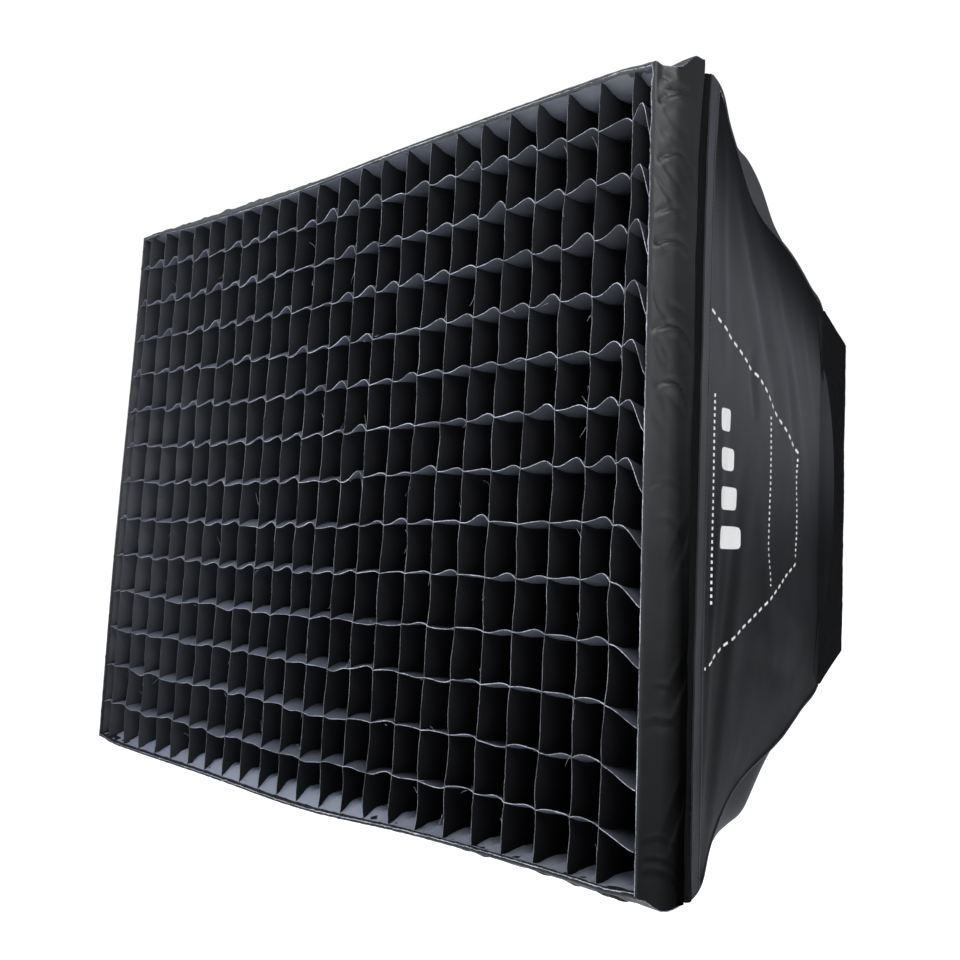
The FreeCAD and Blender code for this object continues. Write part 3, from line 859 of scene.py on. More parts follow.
def lip_and_tape():
    """The lip round the diffuser, and the loop tape sewn outside it."""
    lip_x, lip_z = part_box("lip_right")[1].x, LIP_HI.z
    profile, ripple = band_profile(LIP_LO.y, LIP_HI.y, 12), fuzzy(0.3, 20.0, 6.0, 0.3)
    for part, half, level in ((1, "upper", "top"), (-1, "lower", "bottom")):
        piece = Piece()
        rectangle_ring(piece, profile, lip_x, lip_z, 5 * MM, ripple, (0, 1, 2), 1.0 * MM, part=part)
        obj = piece.make("lip_" + half, [POLYESTER, SILVER, WEBBING], "outer_fabric")
        fold_side(obj, half + "_arms")
        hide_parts("lip_" + level, "lip_left", "lip_right")

    tape_x, tape_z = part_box("loop_tape_right")[1].x, TAPE_HI.z
    profile = band_profile(TAPE_LO.y, TAPE_HI.y, 14)

    def fuzz(p, side, _, t):
        half = tape_z if side in UPRIGHT else tape_x
        corner = bell((1 - np.abs(t)) * half, 0.035)
        proud = 4.0 * MM * corner * smoothstep((p[..., 1] - TAPE_LO.y - 4 * MM) / (12 * MM))
        return proud + 0.4 * MM * field(p, 380.0, 1.0) + 0.4 * MM * field(p, 40.0, 2.0), 0.0

    for part, half, level in ((1, "upper", "top"), (-1, "lower", "bottom")):
        piece = Piece()
        rectangle_ring(piece, profile, tape_x, tape_z, 2.5 * MM, fuzz, (0, 0, 0), 1.0 * MM, part=part)
        obj = piece.make("loop_tape_" + half, [PILE], "tape")
        fold_side(obj, half + "_arms")
        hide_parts("loop_tape_" + level, "loop_tape_left", "loop_tape_right")


# ---------------------------------------------------------------- collar
def collar():
    for side in ("top", "bottom", "left", "right"):
        sideways = side in UPRIGHT
        half = SHELL_REAR.z if sideways else SHELL_REAR.x
        out = SHELL_REAR.x if sideways else SHELL_REAR.z
        slope = (SHELL_FRONT.x - SHELL_REAR.x) if sideways else (SHELL_FRONT.z - SHELL_REAR.z)
        na, nd = int(2 * half / (2.6 * MM)) + 1, 24
        a, d = np.meshgrid(np.linspace(-1, 1, na), np.linspace(0, 1, nd), indexing="ij")
        front = collar_line(a) - 4 * MM
        cut = np.clip((np.abs(a) * half - (half - 0.036)) / 0.036, 0, 1)
        edge = np.stack([a * half, 0 * a + out, 0 * a + outward(side)], -1)
        rear = COLLAR_REAR_Y - 33 * MM * cut
        rear = rear + 1.6 * MM * field(edge, 9.0, 2.0) + 0.5 * MM * field(edge, 60.0, 4.0)
        y = front + (rear - front) * d
        ahead = np.maximum(SHELL_REAR.y - y, 0)
        offset = out + 1.5 * MM + ahead * slope / DEPTH
        rough = np.stack([a * half, y, offset], -1)
        offset = offset + 0.3 * MM * field(rough, 260.0, 5.0)
        offset = offset + 1.6 * MM * field(rough, 12.0, 9.0) * smoothstep(d)
        reach = a * (half + 0.6 * MM + ahead * 0.372)
        points = placed(reach, y, outward(side) * offset, sideways)
        points, uv = face_out(points, np.stack([a * half, y], -1))
        piece = Piece()
        piece.sheet(points, uv, 1.8 * MM, (0, 0, 0))
        obj = piece.make("collar_flap_" + side, [FLEECE], "collar_fabric")
        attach(obj, "frame")
        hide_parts("collar_" + side)
    tape_lo, tape_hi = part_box("collar_tape")
    piece = Piece()
    rectangle_ring(piece, band_profile(tape_hi.y, tape_lo.y, 10), tape_hi.x - 1.2 * MM, tape_hi.z - 1.2 * MM,
                   4 * MM, fuzzy(0.4, 360.0, 3.0), (0, 0, 0), 0.9 * MM, short=42 * MM)
    obj = piece.make("collar_hook_tape", [PILE], "tape")
    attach(obj, "frame")
    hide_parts("collar_tape")


# ---------------------------------------------------------------- grid
def lean(points):
    """The soft grid hangs out of true in front of the lip: wider at its bottom, lower at its left."""
    u, y, w = points[..., 0] / HALF_X, points[..., 1], points[..., 2] / HALF_Z
    front = 1 - smoothstep((y - LIP_LO.y + 26 * MM) / (24 * MM))
    left, right = smoothstep((0.35 - u) / 0.75), smoothstep((u - 0.1) / 0.8)
    top = 6.0 * right - 12.0 * left * (1 - 0.6 * smoothstep((-u - 0.65) / 0.35))
    bottom = 6.0 * right * (1 - 0.6 * smoothstep((u - 0.85) / 0.15))
    bottom = bottom - (8.5 - 3.0 * smoothstep(-u * 2 - 1)) * left
    bottom = bottom - 8.0 * bell(u, 0.30, 0.02)
    low = (1 - w) / 2
    moved = points.copy()
    narrow = 4.5 * w * u * np.where(w > 0, front, 1)
    moved[..., 0] -= MM * (narrow + 6.0 * front * low * smoothstep((-u - 0.2) / 0.8))
    moved[..., 1] -= 9.0 * MM * front * smoothstep(low * 1.3) * smoothstep((-u - 0.3) / 0.7)
    moved[..., 2] += MM * front * (top * (1 - low) + bottom * low)
    corner = bell((1 - np.abs(u)) * HALF_X, 0.055) * smoothstep((w - 0.82) / 0.16)
    depth = (y - GRID_FRONT_Y) / (SKIRT_REAR_Y - GRID_FRONT_Y)
    lift = 3.0 - 6.0 * bell(depth, 0.22, 0.42) + 9.0 * smoothstep((depth - 0.5) / 0.4)
    moved[..., 2] += MM * corner * lift
    return moved


def shear(points):
    """The upright strips lean: their tops stand a little to the right, their feet to the left."""
    u, w = points[..., 0] / HALF_X, points[..., 2] / HALF_Z
    inner = smoothstep((u + 0.9) / 1.2) * np.clip((1 - u) / 0.056, 0, 1)
    top = 9.0 * (1 - smoothstep((u - 0.4) / 0.5))
    bottom = -18.0 - 10.0 * smoothstep((u - 0.85) / 0.09)
    moved = points.copy()
    moved[..., 0] += MM * inner * (bottom + (top - bottom) * (w + 1) / 2)
    return moved


def cell_wave(u, marks, nodes, humps, swings, skew=1.0, flat=1.0):
    """Wavy offset along a strip: through nodes at the crossings, with a hump between, later if skewed."""
    marks = np.array(marks)
    k = np.clip(np.searchsorted(marks, u, side="right") - 1, 0, len(marks) - 2)
    t = np.clip((u - marks[k]) / (marks[k + 1] - marks[k]), 0, 1)
    nodes, humps, swings = np.array(nodes), np.array(humps), np.array(swings)
    base = nodes[k] + (nodes[k + 1] - nodes[k]) * smoothstep(t)
    return base + humps[k] * np.sin(math.pi * t ** skew) ** flat + swings[k] * np.sin(2 * math.pi * t)


def flare(d):
    """How far the top and bottom inner walls open outward, d from 0 at the grid's front to 1 at its rear."""
    return 0.62 * (HALF_Z - INNER_Z) * (1 - smoothstep(np.asarray(d) / 0.4))


def strip_rows(piece):
    marks = [-INNER_X - 1 * MM] + COLUMN_X + [INNER_X + 1 * MM]
    for i, z in enumerate(ROW_Z):
        cells = len(marks) - 1
        height = z / HALF_Z
        fin = 5.0 + 3.5 * height
        nodes = [rng.uniform(-1.6, 1.6) * MM for _ in marks]
        humps = [rng.choice((1, 1, 1, min(0.5 + height, 1.0))) * fin * rng.uniform(0.35, 1.5) * MM
                 for _ in range(cells)]
        if height < -0.3:
            humps = [rng.choice((1.0, 1.0, 0.6, -0.8)) * rng.uniform(1.2, 3.8) * MM for _ in range(cells)]
        swings = [rng.uniform(-1.6, 0.8) * MM for _ in range(cells)]
        fall = 22 + 5 * height if height > -0.1 else 20 + 9 * height
        peak, drop = (7.0 + 9.0 * height) * rng.uniform(0.8, 1.2) * MM, fall * rng.uniform(0.9, 1.1) * MM
        humps[-2] = rng.uniform(6.0, 11.0) * (1.0 if height > -0.3 else 0.55) * MM
        u = np.linspace(marks[0], marks[-1], 380)
        v = np.linspace(0, 1, STRIP_STEPS)
        wave = cell_wave(u, marks, nodes, humps, swings, *((2.3, 1.0) if height > -0.3 else (1.4, 0.45)))
        q = np.clip((u - marks[-2]) / (marks[-1] - marks[-2]), 0, 1)
        late = 0.35 * (height > -0.1)
        ease = smoothstep((q - late) / (1 - late))
        if height < -0.1:
            ease = (ease + q) / 2
        curl = max(peak, 0) * np.sin(math.pi * q ** 0.9) - drop * ease
        wave = np.where(u > marks[-2], nodes[-2] * (1 - q) + curl, wave)
        x, d = np.meshgrid(u, v, indexing="ij")
        cut = 0.5 * MM * np.array([noise.noise(Vector((q * 90, i * 3.3, 0))) for q in u])
        y = STRIP_FRONT_Y + cut[:, None] * (1 - d) + (STRIP_REAR_Y - STRIP_FRONT_Y) * d
        points = np.stack([x, y, z + wave[:, None] * (1 - d) ** 0.9], -1)
        piece.sheet(lean(shear(points))[:, ::-1], metric_uv(u, v * STRIP_WIDTH)[:, ::-1], ROW_THICK, (0, 0, 1))


def strip_columns(piece):
    marks = [-INNER_Z - 1 * MM] + ROW_Z + [INNER_Z + 1 * MM]
    for j, x0 in enumerate(COLUMN_X):
        cells = len(marks) - 1
        nodes = [rng.uniform(-1.2, 1.2) * MM for _ in marks]
        humps = [rng.uniform(-2.4, 2.4) * MM for _ in range(cells)]
        swings = [rng.uniform(-0.8, 0.8) * MM for _ in range(cells)]
        humps[-1] = rng.uniform(-4.5, -1.0) * MM
        humps[0] = rng.uniform(-3.5, 3.5) * MM
        u = np.linspace(marks[0], marks[-1], 270)
        v = np.linspace(0, 1, STRIP_STEPS)
        wave = cell_wave(u, marks, nodes, humps, swings)
        back = cell_wave(u, marks, [0.5 * q for q in nodes], [-0.5 * q for q in humps], swings)
        z, d = np.meshgrid(u, v, indexing="ij")
        cut = 0.5 * MM * np.array([noise.noise(Vector((q * 90, j * 5.7, 9.0))) for q in u])
        y = STRIP_FRONT_Y + cut[:, None] * (1 - d) + (STRIP_REAR_Y - STRIP_FRONT_Y) * d
        fray = 0.55 * MM * np.array([noise.noise(Vector((q * 170, j * 2.9, 4.0))) for q in u])
        x = x0 + wave[:, None] * (1 - d) ** 0.9 + back[:, None] * d * (1 - d) * 2 + fray[:, None] * (1 - d) ** 6
        z = z + np.sign(z) * flare(d) * smoothstep((np.abs(z) - INNER_Z + 22 * MM) / (22 * MM))
        points = np.stack([x, y, z], -1)
        piece.sheet(lean(shear(points)), metric_uv(u, v * STRIP_WIDTH), COLUMN_THICK, (0, 0, 1))


def loose_threads(piece, count):
    """Fine broken threads that stand out of the strips' cut edges."""
    for _ in range(count):
        upright = rng.random() < 0.7
        if upright:
            x = rng.choice(COLUMN_X) + rng.uniform(-1, 1) * MM
            z = rng.uniform(-INNER_Z, INNER_Z)
        else:
            x = rng.uniform(-INNER_X, INNER_X)
            z = rng.choice(ROW_Z) + rng.uniform(-1, 3) * MM
        at = np.array([x, STRIP_FRONT_Y, z])
        run = rng.uniform(3, 8) * rng.choice((1, 1, 2)) * MM
        heading = np.array([rng.uniform(-0.5, 0.5), rng.uniform(-0.5, 0.1), rng.choice((-1, 1)) * 1.0])
        if not upright:
            heading = np.array([rng.choice((-1, 1)) * 1.0, rng.uniform(-0.5, 0.1), rng.uniform(-0.8, 0.3)])
        curl = np.array([rng.uniform(-1, 1), rng.uniform(-1, 0.3), rng.uniform(-1, 1)]) * 0.45
        t = np.linspace(0, 1, 7)[:, None]
        path = at + run * (heading / np.linalg.norm(heading) * t + curl * t * t)
        piece.tube(lean(shear(path)), np.linspace(0.24, 0.09, 7) * MM, 4, 0)


def egg_crate():
    for name, build, node, edge in (("grid_strips_level", strip_rows, "grid_rows", RAW_EDGE),
                                    ("grid_strips_upright", strip_columns, "grid_columns", DIM_EDGE)):
        piece = Piece()
        build(piece)
        # The level strips take the lighter row satin (painted light), the upright ones the grid satin with its
        # painted shade.
        obj = piece.make(name, [ROW_SATIN if node == "grid_rows" else SATIN, edge], "grid_fabric")
        squash_flat(obj, "grid", node)
    piece = Piece()
    loose_threads(piece, THREADS)
    squash_flat(piece.make("grid_loose_threads", [RAW_EDGE], "grid_fabric"), "grid")


def pucker(points, seed):
    """Short slanting creases, as stitching puckers satin. From 0 to 1, mostly near 0."""
    slant = points + 0.012 * np.stack([field(points, 26.0, seed + k) for k in (1, 2, 3)], -1)
    slant[..., 1] = slant[..., 1] * 1.6 + points[..., 2] * 0.7 + points[..., 0] * 0.4
    ridge = 1 - np.abs(field(slant, (20.0, 34.0, 20.0), seed))
    return np.clip((ridge - 0.72) / 0.28, 0, 1) ** 1.5


def arc_creases(u, v, half, upright):
    """Arched puckers across a border side: u along it, v from 0 at its front edge to 1 at its rear."""
    height = np.zeros_like(u)
    at = -half + 0.02
    while at < half - 0.01:
        upper = at > 0.05 or not upright
        rise = rng.uniform(6, 44) * MM * (1 if rng.random() < 0.85 else -0.6)
        wide = rng.uniform(1.6, 3.4) * MM
        deep = rng.uniform(1.8, 4.2) * MM * (1.0 if upper else 0.3)
        v0, v1 = rng.uniform(-0.3, 0.25), rng.uniform(0.65, 1.15)
        path = at + rise * (np.sin(2.6 * v) - 1.35 * v)
        fade = smoothstep((v - v0) / 0.25) * smoothstep((v1 - v) / 0.3)
        q = u - path
        valley = -bell(q, wide) + 0.55 * bell(q, 1.6 * wide, -2.0 * wide)
        height += deep * fade * valley
        at += rng.choice((9, 24, 44, 62, 80)) * rng.uniform(0.8, 1.2) * MM * (1.0 if upper else 1.5)
    return height


def long_folds(u, v, half):
    """Deep folds that start at the rear edge of a border side and run forward and down."""
    height = np.zeros_like(u)
    for at in (-0.36, -0.27, -0.17, -0.05):
        reach, wide = rng.uniform(0.06, 0.13), rng.uniform(6.0, 10.0) * MM
        path = at * half / 0.36 - reach * (1 - v) ** 1.3
        q = u - path
        fade = smoothstep((v - 0.25) / 0.4) * smoothstep((1.04 - v) / 0.25)
        height += 2.0 * MM * fade * (bell(q, wide) - 0.8 * bell(q, wide, 1.7 * wide))
    return height


def grid_border():
    """Padded satin border: a rounded front roll and a skirt that wraps the lip."""
    roll = HALF_X - INNER_X
    controls = [(0.4 * MM, BORDER_REAR_Y), (0.2 * MM, GRID_FRONT_Y + 6 * MM),
                (0.7 * MM, GRID_FRONT_Y + 1.2 * MM), (2.4 * MM, GRID_FRONT_Y - 0.2 * MM),
                (roll * 0.58, GRID_FRONT_Y + 1.6 * MM),
                (roll * 0.88, GRID_FRONT_Y + 6.5 * MM), (roll + 1.6 * MM, GRID_FRONT_Y + 14 * MM),
                (roll + 3.4 * MM, GRID_FRONT_Y + 25 * MM), (roll + 2.4 * MM, GRID_FRONT_Y + 37 * MM),
                (roll + 1.0 * MM, SKIRT_REAR_Y - 2 * MM), (roll + 1.2 * MM, SKIRT_REAR_Y)]
    profile = smooth_profile(controls, 4)
    piece = Piece()

    def crumple(p, side, profile, t):
        upright = side in UPRIGHT
        half = INNER_Z if upright else INNER_X
        u, v = t * half, (profile[..., 1] - GRID_FRONT_Y) / (SKIRT_REAR_Y - GRID_FRONT_Y)
        outer = smoothstep((profile[..., 0] - roll * 0.4) / (roll * 0.6))
        corner = half - np.abs(u)
        creases = arc_creases(u, v, half, upright)
        if upright:
            creases = creases + long_folds(u, v, half)
            fade = smoothstep((u + 0.02) / 0.1) * smoothstep((0.9 - v) / 0.3)
            creases = creases - 1.6 * MM * pucker(p, 40.0) * fade
        soft = 1.2 * MM * field(p, (16.0, 9.0, 16.0), 3.0) + 0.35 * MM * field(p, 60.0, 5.0)
        tuck = -3.5 * MM * bell(corner, 0.03) * smoothstep((0.45 - v) / 0.3)
        if not upright:
            cell = (u + COLUMN_LIMIT) / (2 * COLUMN_LIMIT) * (COLUMNS - 1)
            tuck = tuck + 1.1 * MM * (np.abs(np.sin(math.pi * cell)) ** 0.7 - 0.7) * smoothstep((0.9 - v) / 0.5)
        lumps = 0.4 * MM * field(p, 110.0, 8.0) * (1 - outer)
        ragged = 1.0 * field(p, 34.0, 12.0) + 5.0 * bell(corner, 0.035) * (p[..., 2] > 0)
        edge = ragged * MM * smoothstep((profile[..., 1] - SKIRT_REAR_Y + 14 * MM) / (14 * MM))
        open_out = 0.0
        if not upright:
            inner = smoothstep((roll - profile[..., 0]) / (0.6 * roll))
            inner = inner * (1 - bell(corner, 0.04))
            open_out = inner * flare((profile[..., 1] - GRID_FRONT_Y) / (STRIP_REAR_Y - GRID_FRONT_Y))
        depth = (creases + soft + tuck) * outer + lumps + open_out
        least = np.where(profile[..., 1] > LIP_LO.y - 3 * MM, roll - 0.3 * MM - profile[..., 0], -1.0)
        return np.maximum(depth, least), edge

    rectangle_ring(piece, profile, INNER_X, INNER_Z, 2.2 * MM, crumple, (0, 0, 1), 0.9 * MM)
    piece.verts = [lean(v) for v in piece.verts]
    obj = piece.make("grid_border_roll", [BORDER_SATIN, RAW_EDGE], "border_fabric")
    squash_flat(obj, "grid", "grid_border", "grid_skirt")

    piece = Piece()
    path_z = np.linspace(-INNER_Z - 2 * MM, INNER_Z + 2 * MM, 420)
    path_x = np.linspace(-INNER_X, INNER_X, 700)
    for sign in (-1, 1):
        for path, level in ((path_z, False), (path_x, True)):
            wob = np.array([[noise.noise(Vector((q * 120, sign * 7, k * 5 + level))) for k in (0, 1)]
                            for q in path])
            off = (INNER_Z + flare(0.0) if level else INNER_X) + 1.0 * MM + 0.6 * MM * wob[:, 0]
            ragged = smoothstep((path / path[-1] - 0.45) / 0.4) if not level else 0.15
            if level:
                off = off - 5.5 * MM * bell(path[-1] - np.abs(path), 0.03)
            off = off + 2.2 * MM * ragged * np.array([noise.noise(Vector((q * 60, 3.0, sign))) for q in path])
            y = GRID_FRONT_Y - 0.9 * MM + 0.7 * MM * wob[:, 1]
            line = placed(path, y, sign * off, not level)
            width = (0.45 + (0.4 + 0.6 * ragged) * np.abs(wob[:, 1])) * MM
            piece.tube(lean(line), width, 6, 0)
    obj = piece.make("grid_border_cut_edge", [RAW_EDGE], "border_fabric")
    squash_flat(obj, "grid")


def inner_walls():
    """Thin satin walls between the border roll and the strips, pillowed between crossings."""
    piece = Piece()
    for side in ("top", "bottom", "left", "right"):
        level = side in ("top", "bottom")
        limits = [-INNER_X] + COLUMN_X + [INNER_X] if level else [-INNER_Z] + ROW_Z + [INNER_Z]
        half = INNER_X if level else INNER_Z
        out = (INNER_Z if level else INNER_X) - 0.2 * MM
        u = np.linspace(-half, half, int(2 * half / (3 * MM)))
        v = np.linspace(0, 1, 12)
        big = 11.0 if side == "top" else 6.5
        humps = [rng.uniform(0.6, 1.0) * big * MM for _ in limits[:-1]]
        puff = cell_wave(u, limits, [0.0] * len(limits), humps, [0.0] * len(humps), 0.75)
        puff = big * MM * (np.abs(puff) / (big * MM)) ** 0.55
        q, d = np.meshgrid(u, v, indexing="ij")
        y = GRID_FRONT_Y + 1.5 * MM + (STRIP_REAR_Y - GRID_FRONT_Y - 3 * MM) * d
        rough = np.stack([q, y, np.full_like(q, out)], -1)
        swell = puff[:, None] * smoothstep(d * 1.25 + 0.05)
        offset = out - np.abs(swell) - 0.8 * MM * pucker(rough, 30.0) - 0.3 * MM * field(rough, 60.0, 3.0)
        if level:
            offset = offset + flare(d) * (1 - 0.8 * bell(half - np.abs(q), 0.03))
        points, uv = face_out(placed(q, y, outward(side) * offset, not level), metric_uv(u, v * STRIP_WIDTH))
        # The top wall takes the lighter wall satin and the bottom wall the much lighter satin (painted light);
        # left and right walls take the grid satin with its painted shade.
        slot = {"top": 0, "bottom": 2}.get(side, 3)
        piece.sheet(lean(points), uv, 0.6 * MM, (slot, slot, 1))
    materials = [WALL_SATIN, DIM_EDGE, PAINTED_LIGHT_SATIN, SATIN]
    squash_flat(piece.make("grid_inner_walls", materials, "grid_fabric"), "grid")


def grid_hook_tape():
    lo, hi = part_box("grid_hook_tape")
    piece = Piece()
    rectangle_ring(piece, band_profile(hi.y, lo.y, 8), lo.x * -1 - 0.9 * MM, lo.z * -1 - 0.9 * MM, 4 * MM,
                   fuzzy(0.15, 500.0, 3.0), (0, 0, 0), 0.8 * MM)
    obj = piece.make("grid_hooks", [PILE], "tape")
    squash_flat(obj, "grid", "grid_hook_tape")


# ---------------------------------------------------------------- diffuser, baffle and inside
def diffuser():
    lo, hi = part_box("diffuser_cloth")
    u, v = np.linspace(lo.x, hi.x, 200), np.linspace(lo.z, hi.z, 120)
    x, z = np.meshgrid(u, v, indexing="ij")
    rough = np.stack([x, 0 * x, z], -1)
    edge = np.minimum(smoothstep((hi.x - np.abs(x)) / 0.03), smoothstep((hi.z - np.abs(z)) / 0.03))
    y = lo.y + (0.8 * MM * field(rough, 7.0, 2.0) - 0.8 * MM) * edge
    piece = Piece()
    piece.sheet(np.stack([x, y, z], -1), metric_uv(u, v), 0.6 * MM, (0, 0, 1))
    obj = piece.make("diffuser_sheet", [WHITE_NYLON, WEBBING], "diffuser_white")
    squash_flat(obj, "diffuser", "diffuser_cloth")
    piece = Piece()
    rectangle_ring(piece, band_profile(BAND_LO.y, BAND_HI.y, 10), BAND_HI.x, BAND_HI.z, 4 * MM,
                   fuzzy(0.12, 420.0, 3.0, 0.12), (0, 1, 1), 0.8 * MM)
    obj = piece.make("diffuser_edge_band", [PILE, WEBBING], "tape")
    squash_flat(obj, "diffuser", "diffuser_band")


def baffle():
    lo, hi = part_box("baffle_cloth")
    y0 = (lo.y + hi.y) / 2
    u, v = np.linspace(lo.x, hi.x, 150), np.linspace(lo.z, hi.z, 90)
    x, z = np.meshgrid(u, v, indexing="ij")
    scoop = 1 - 0.018 * (1 - (z / hi.z) ** 2)
    rise = 1 - 0.03 * (1 - (x / hi.x) ** 2)
    points = np.stack([x * scoop, y0 + 2.5 * MM * field(np.stack([x, 0 * x, z], -1), 6.0, 8.0), z * rise], -1)
    piece = Piece()
    piece.sheet(points, metric_uv(u, v), 0.5 * MM, (0, 0, 1))
    edges = [points[0], points[-1], points[:, 0], points[:, -1]]
    for line in edges:
        piece.tube(line, 1.8 * MM, 6, 1)
    obj = piece.make("baffle_sheet", [BAFFLE_NYLON, WEBBING], "baffle_white")
    squash_flat(obj, "frame", "baffle_cloth", keep=BAFFLE_KEEP)


def baffle_ties():
    """Braided elastic cords from the baffle's hem, each with a moulded hook at its end."""
    lo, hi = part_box("baffle_cloth")
    y = (lo.y + hi.y) / 2
    cords_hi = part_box("baffle_cords")[1]
    cords, hooks = Piece(), Piece()
    ties = [(x, s, 0) for x in (-0.380, 0.0, 0.380) for s in (-1, 1)]
    ties += [(z, s, 1) for z in (-0.150, 0.150) for s in (-1, 1)]
    for place, sign, sideways in ties:
        start, end = (hi.x, cords_hi.x) if sideways else (hi.z, cords_hi.z)
        reach = np.linspace(start - 6 * MM, end, 14)
        slack = 0.9 * MM * np.sin(np.linspace(0, 3.0, 14))
        across = np.full(14, place)
        cords.tube(placed(across, y + slack, sign * reach, sideways), 1.3 * MM, 8, 0)
        turn = np.linspace(-0.6 * math.pi, 0.75 * math.pi, 14)
        bend = end + 3.2 * MM + 2.4 * MM * np.cos(turn)
        drop = y + 2.4 * MM * np.sin(turn)
        hooks.tube(placed(across, drop, sign * bend, sideways), 0.9 * MM, 8, 0)
    obj = cords.make("baffle_elastic", [CORD], "cord")
    squash_flat(obj, "frame", "baffle_cords", keep=BAFFLE_KEEP)
    obj = hooks.make("baffle_end_hooks", [HOOK_PLASTIC], "hook_plastic")
    squash_flat(obj, "frame", "baffle_hooks", keep=BAFFLE_KEEP)


def corner_pockets():
    """Stitched triangles of webbing that the rod tips press into."""
    for half, sz in (("upper", 1), ("lower", -1)):
        lo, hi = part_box(half + "_pockets")
        piece = Piece()
        leg = hi.z - lo.z
        outer_z = max(abs(lo.z), abs(hi.z))
        for sx in (-1, 1):
            u, v = np.meshgrid(np.linspace(0.02, 1, 16), np.linspace(0, 1, 16), indexing="ij")
            x = sx * (hi.x - leg * u * v)
            z = sz * (outer_z - leg * u * (1 - v))
            y = lo.y + 0.5 * MM - 0.8 * MM * np.sin(math.pi * u) * np.sin(math.pi * v)
            points = np.stack([x, y, z], -1)
            if sx * sz < 0:
                points = points[:, ::-1]
            piece.sheet(points, np.stack([x, z], -1), 1.2 * MM, (0, 0, 0))
        obj = piece.make(half + "_corner_pockets", [WEBBING], "edge_fabric")
        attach(obj, half + "_arms")
        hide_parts(half + "_pockets")


def hook_patch():
    """A tuft of pale hook tape that shows between border and hem, low on the right."""
    piece = Piece()
    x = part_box("loop_tape_right")[1].x
    for _ in range(700):
        z = -0.92 * HALF_Z + rng.gauss(0, 1) * 6 * MM
        y = SKIRT_REAR_Y + 1 * MM + rng.uniform(-1, 1) * 2.6 * MM
        lean_out = np.array([rng.uniform(0.3, 1.0), rng.uniform(-0.7, 0.7), rng.uniform(-0.7, 0.7)])
        path = np.array([x, y, z]) + lean_out * np.linspace(0, 1, 3)[:, None] * rng.uniform(1.2, 2.8) * MM
        piece.tube(path, np.array([0.30, 0.24, 0.10]) * MM, 4, 0)
    fold_side(piece.make("hook_tape_tuft", [GREY_FUZZ], "tape"), "lower_arms")


# ---------------------------------------------------------------- CAD nodes that stay
PLATE = metal_material("frame_aluminium", (0.46, 0.47, 0.48), (0.66, 0.67, 0.68), 0.26, 0.16)
BRIGHT = metal_material("plated_steel", (0.48, 0.48, 0.50), (0.70, 0.70, 0.72), 0.20, 0.10)
POWDER = plastic_material("powder_coat", (0.012, 0.012, 0.013), (0.045, 0.045, 0.048), 0.45, 0.3)
NYLON = plastic_material("filled_nylon", (0.010, 0.010, 0.011), (0.035, 0.035, 0.037), 0.50)
HOOK_PLASTIC = plastic_material("hook_plastic", (0.015, 0.015, 0.016), (0.05, 0.05, 0.052), 0.42)
ROD_COAT = plastic_material("rod_coating", (0.008, 0.008, 0.009), (0.030, 0.030, 0.032), 0.30, 0.6)
RUBBER = plastic_material("tip_rubber", (0.012, 0.012, 0.012), (0.030, 0.030, 0.030), 0.75)


def paint(node, material):
    obj = frame["nodes"][node]
    if not obj.data.materials:
        obj.data.materials.append(material)
    for slot in obj.material_slots:
        slot.material = material


def carried_nodes():
    paint("mounting_frame", PLATE)
    paint("corner_brackets", POWDER)
    paint("bracket_rivets", BRIGHT)
    paint("hinge_pins", BRIGHT)
    for half in ("upper", "lower"):
        paint(half + "_receivers", NYLON)
        paint(half + "_rods", ROD_COAT)
        paint(half + "_rod_tips", RUBBER)


# ---------------------------------------------------------------- stage
CAMERA_AZIMUTH, CAMERA_ELEVATION, CAMERA_ROLL = math.radians(54.46), math.radians(-7.92), math.radians(2.12)
CAMERA_RANGE, CAMERA_AIM = 4.302, (1.248, 0.423)     # in half heights of the grid
SENSOR, LENS, SHIFT = 36.0, 61.55, (-0.0761, -0.1767)


def floor():
    n = Nodes("floor_paper")
    place = n.node("ShaderNodeTexCoord").outputs["Object"]
    n.set(Base_Color=n.ramp(n.noise(place, 2.0, 3.0), (0.90, 0.90, 0.90), (0.92, 0.92, 0.92)), Roughness=0.9)
    n.set(Emission_Color=(1.0, 1.0, 1.0, 1.0), Emission_Strength=0.85)
    mesh = bpy.data.meshes.new("floor")
    z = -HALF_Z - 0.9
    mesh.from_pydata([(-30, -30, z), (30, -30, z), (30, 30, z), (-30, 30, z)], [], [(0, 1, 2, 3)])
    mesh.materials.append(n.material)
    link(bpy.data.objects.new("floor", mesh))


def area_light(name, place, target, size, power, colour=(1, 1, 1)):
    data = bpy.data.lights.new(name, "AREA")
    data.shape, data.size, data.energy, data.color = "SQUARE", size, power, colour
    obj = bpy.data.objects.new(name, data)
    obj.location = place
    obj.rotation_euler = (Vector(target) - Vector(place)).to_track_quat("-Z", "Y").to_euler()
    obj.visible_camera = False
    link(obj)


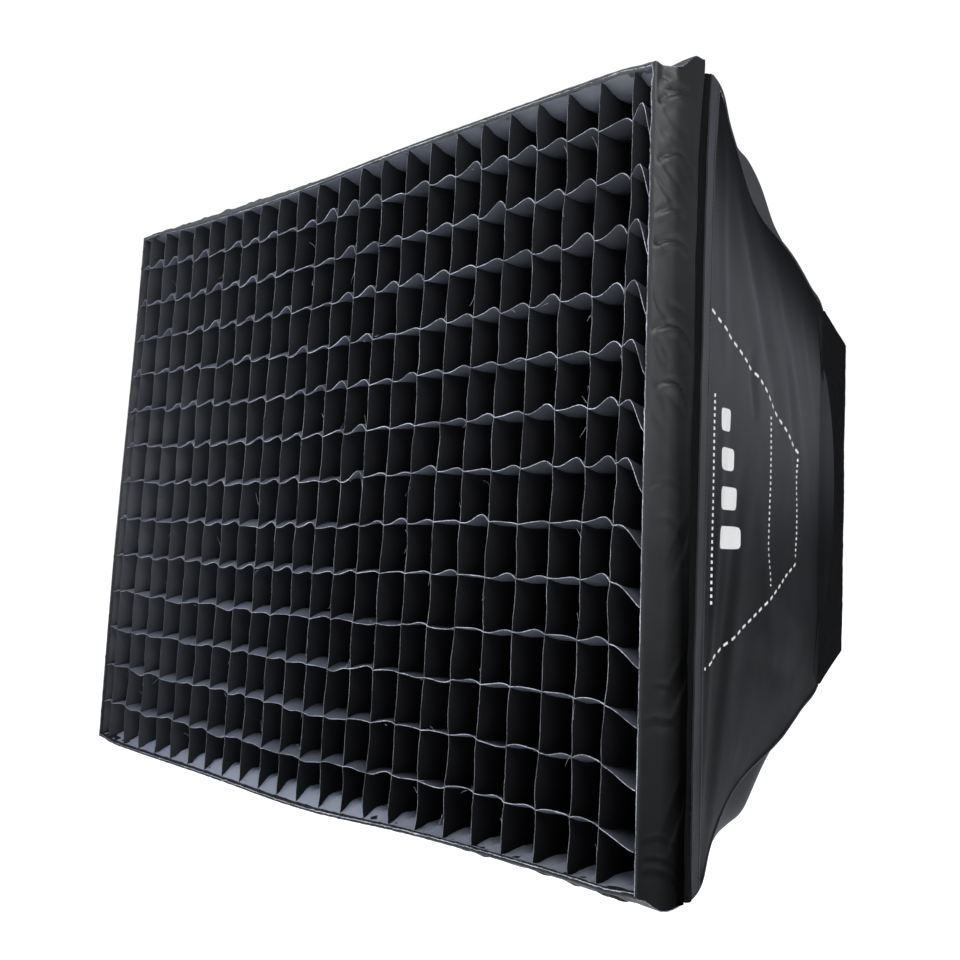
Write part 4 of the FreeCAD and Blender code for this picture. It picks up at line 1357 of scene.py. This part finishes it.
def studio():
    world = bpy.data.worlds.new("studio")
    bpy.context.scene.world = world
    world.use_nodes = True
    tree = world.node_tree
    tree.nodes.clear()

    def add(kind, **settings):
        made = tree.nodes.new(kind)
        for key, value in settings.items():
            setattr(made, key, value)
        return made

    out, mix, path = add("ShaderNodeOutputWorld"), add("ShaderNodeMixShader"), add("ShaderNodeLightPath")
    soft, backdrop = add("ShaderNodeBackground"), add("ShaderNodeBackground")
    backdrop.inputs[0].default_value, backdrop.inputs[1].default_value = (1.0, 1.0, 1.0, 1.0), 1.05
    place, axes = add("ShaderNodeTexCoord"), add("ShaderNodeSeparateXYZ")
    steep = add("ShaderNodeMath", operation="ABSOLUTE")
    colour = add("ShaderNodeMix", data_type="RGBA")
    colour.inputs[6].default_value = (0.17, 0.168, 0.165, 1)
    colour.inputs[7].default_value = (0.70, 0.78, 0.95, 1)
    tree.links.new(place.outputs["Generated"], axes.inputs[0])
    tree.links.new(axes.outputs["Z"], steep.inputs[0])
    tree.links.new(steep.outputs[0], colour.inputs[0])
    tree.links.new(colour.outputs[2], soft.inputs[0])
    soft.inputs[1].default_value = 0.8
    tree.links.new(path.outputs["Is Camera Ray"], mix.inputs[0])
    tree.links.new(soft.outputs[0], mix.inputs[1])
    tree.links.new(backdrop.outputs[0], mix.inputs[2])
    tree.links.new(mix.outputs[0], out.inputs[0])
    area_light("overhead", (-0.6, -1.8, 2.2), (0, -0.4, 0.1), 2.0, 85, (0.90, 0.94, 1.0))
    area_light("right_key", (1.5, -1.0, 0.85), (0.6, -0.35, 0.1), 0.6, 11, (1.0, 0.985, 0.96))
    area_light("below", (0.2, -1.7, -1.15), (0.1, -0.4, 0.1), 1.6, 42, (0.84, 0.90, 1.0))


def camera():
    data = bpy.data.cameras.new("camera")
    data.sensor_width, data.lens = SENSOR, LENS
    data.shift_x, data.shift_y = SHIFT
    data.clip_start, data.clip_end = 0.05, 100.0
    obj = bpy.data.objects.new("camera", data)
    level = math.cos(CAMERA_ELEVATION)
    back = Vector((math.sin(CAMERA_AZIMUTH) * level, -math.cos(CAMERA_AZIMUTH) * level,
                   math.sin(CAMERA_ELEVATION)))
    target = Vector((CAMERA_AIM[0] * HALF_Z, GRID_FRONT_Y, CAMERA_AIM[1] * HALF_Z))
    obj.location = target + back * CAMERA_RANGE * HALF_Z
    turn = (-back).to_track_quat("-Z", "Y").to_matrix().to_4x4()
    obj.rotation_mode = "QUATERNION"
    obj.rotation_quaternion = (turn @ Matrix.Rotation(CAMERA_ROLL, 4, "Z")).to_quaternion()
    bpy.context.scene.camera = link(obj)


# The order below sets the order of the random draws.
for build in (shell_panels, seam_piping, lip_and_tape, collar, egg_crate, inner_walls, grid_border,
              grid_hook_tape, diffuser, baffle, baffle_ties, corner_pockets, hook_patch, carried_nodes,
              floor, studio, camera):
    build()
bpy.context.scene.view_settings.view_transform = "Standard"
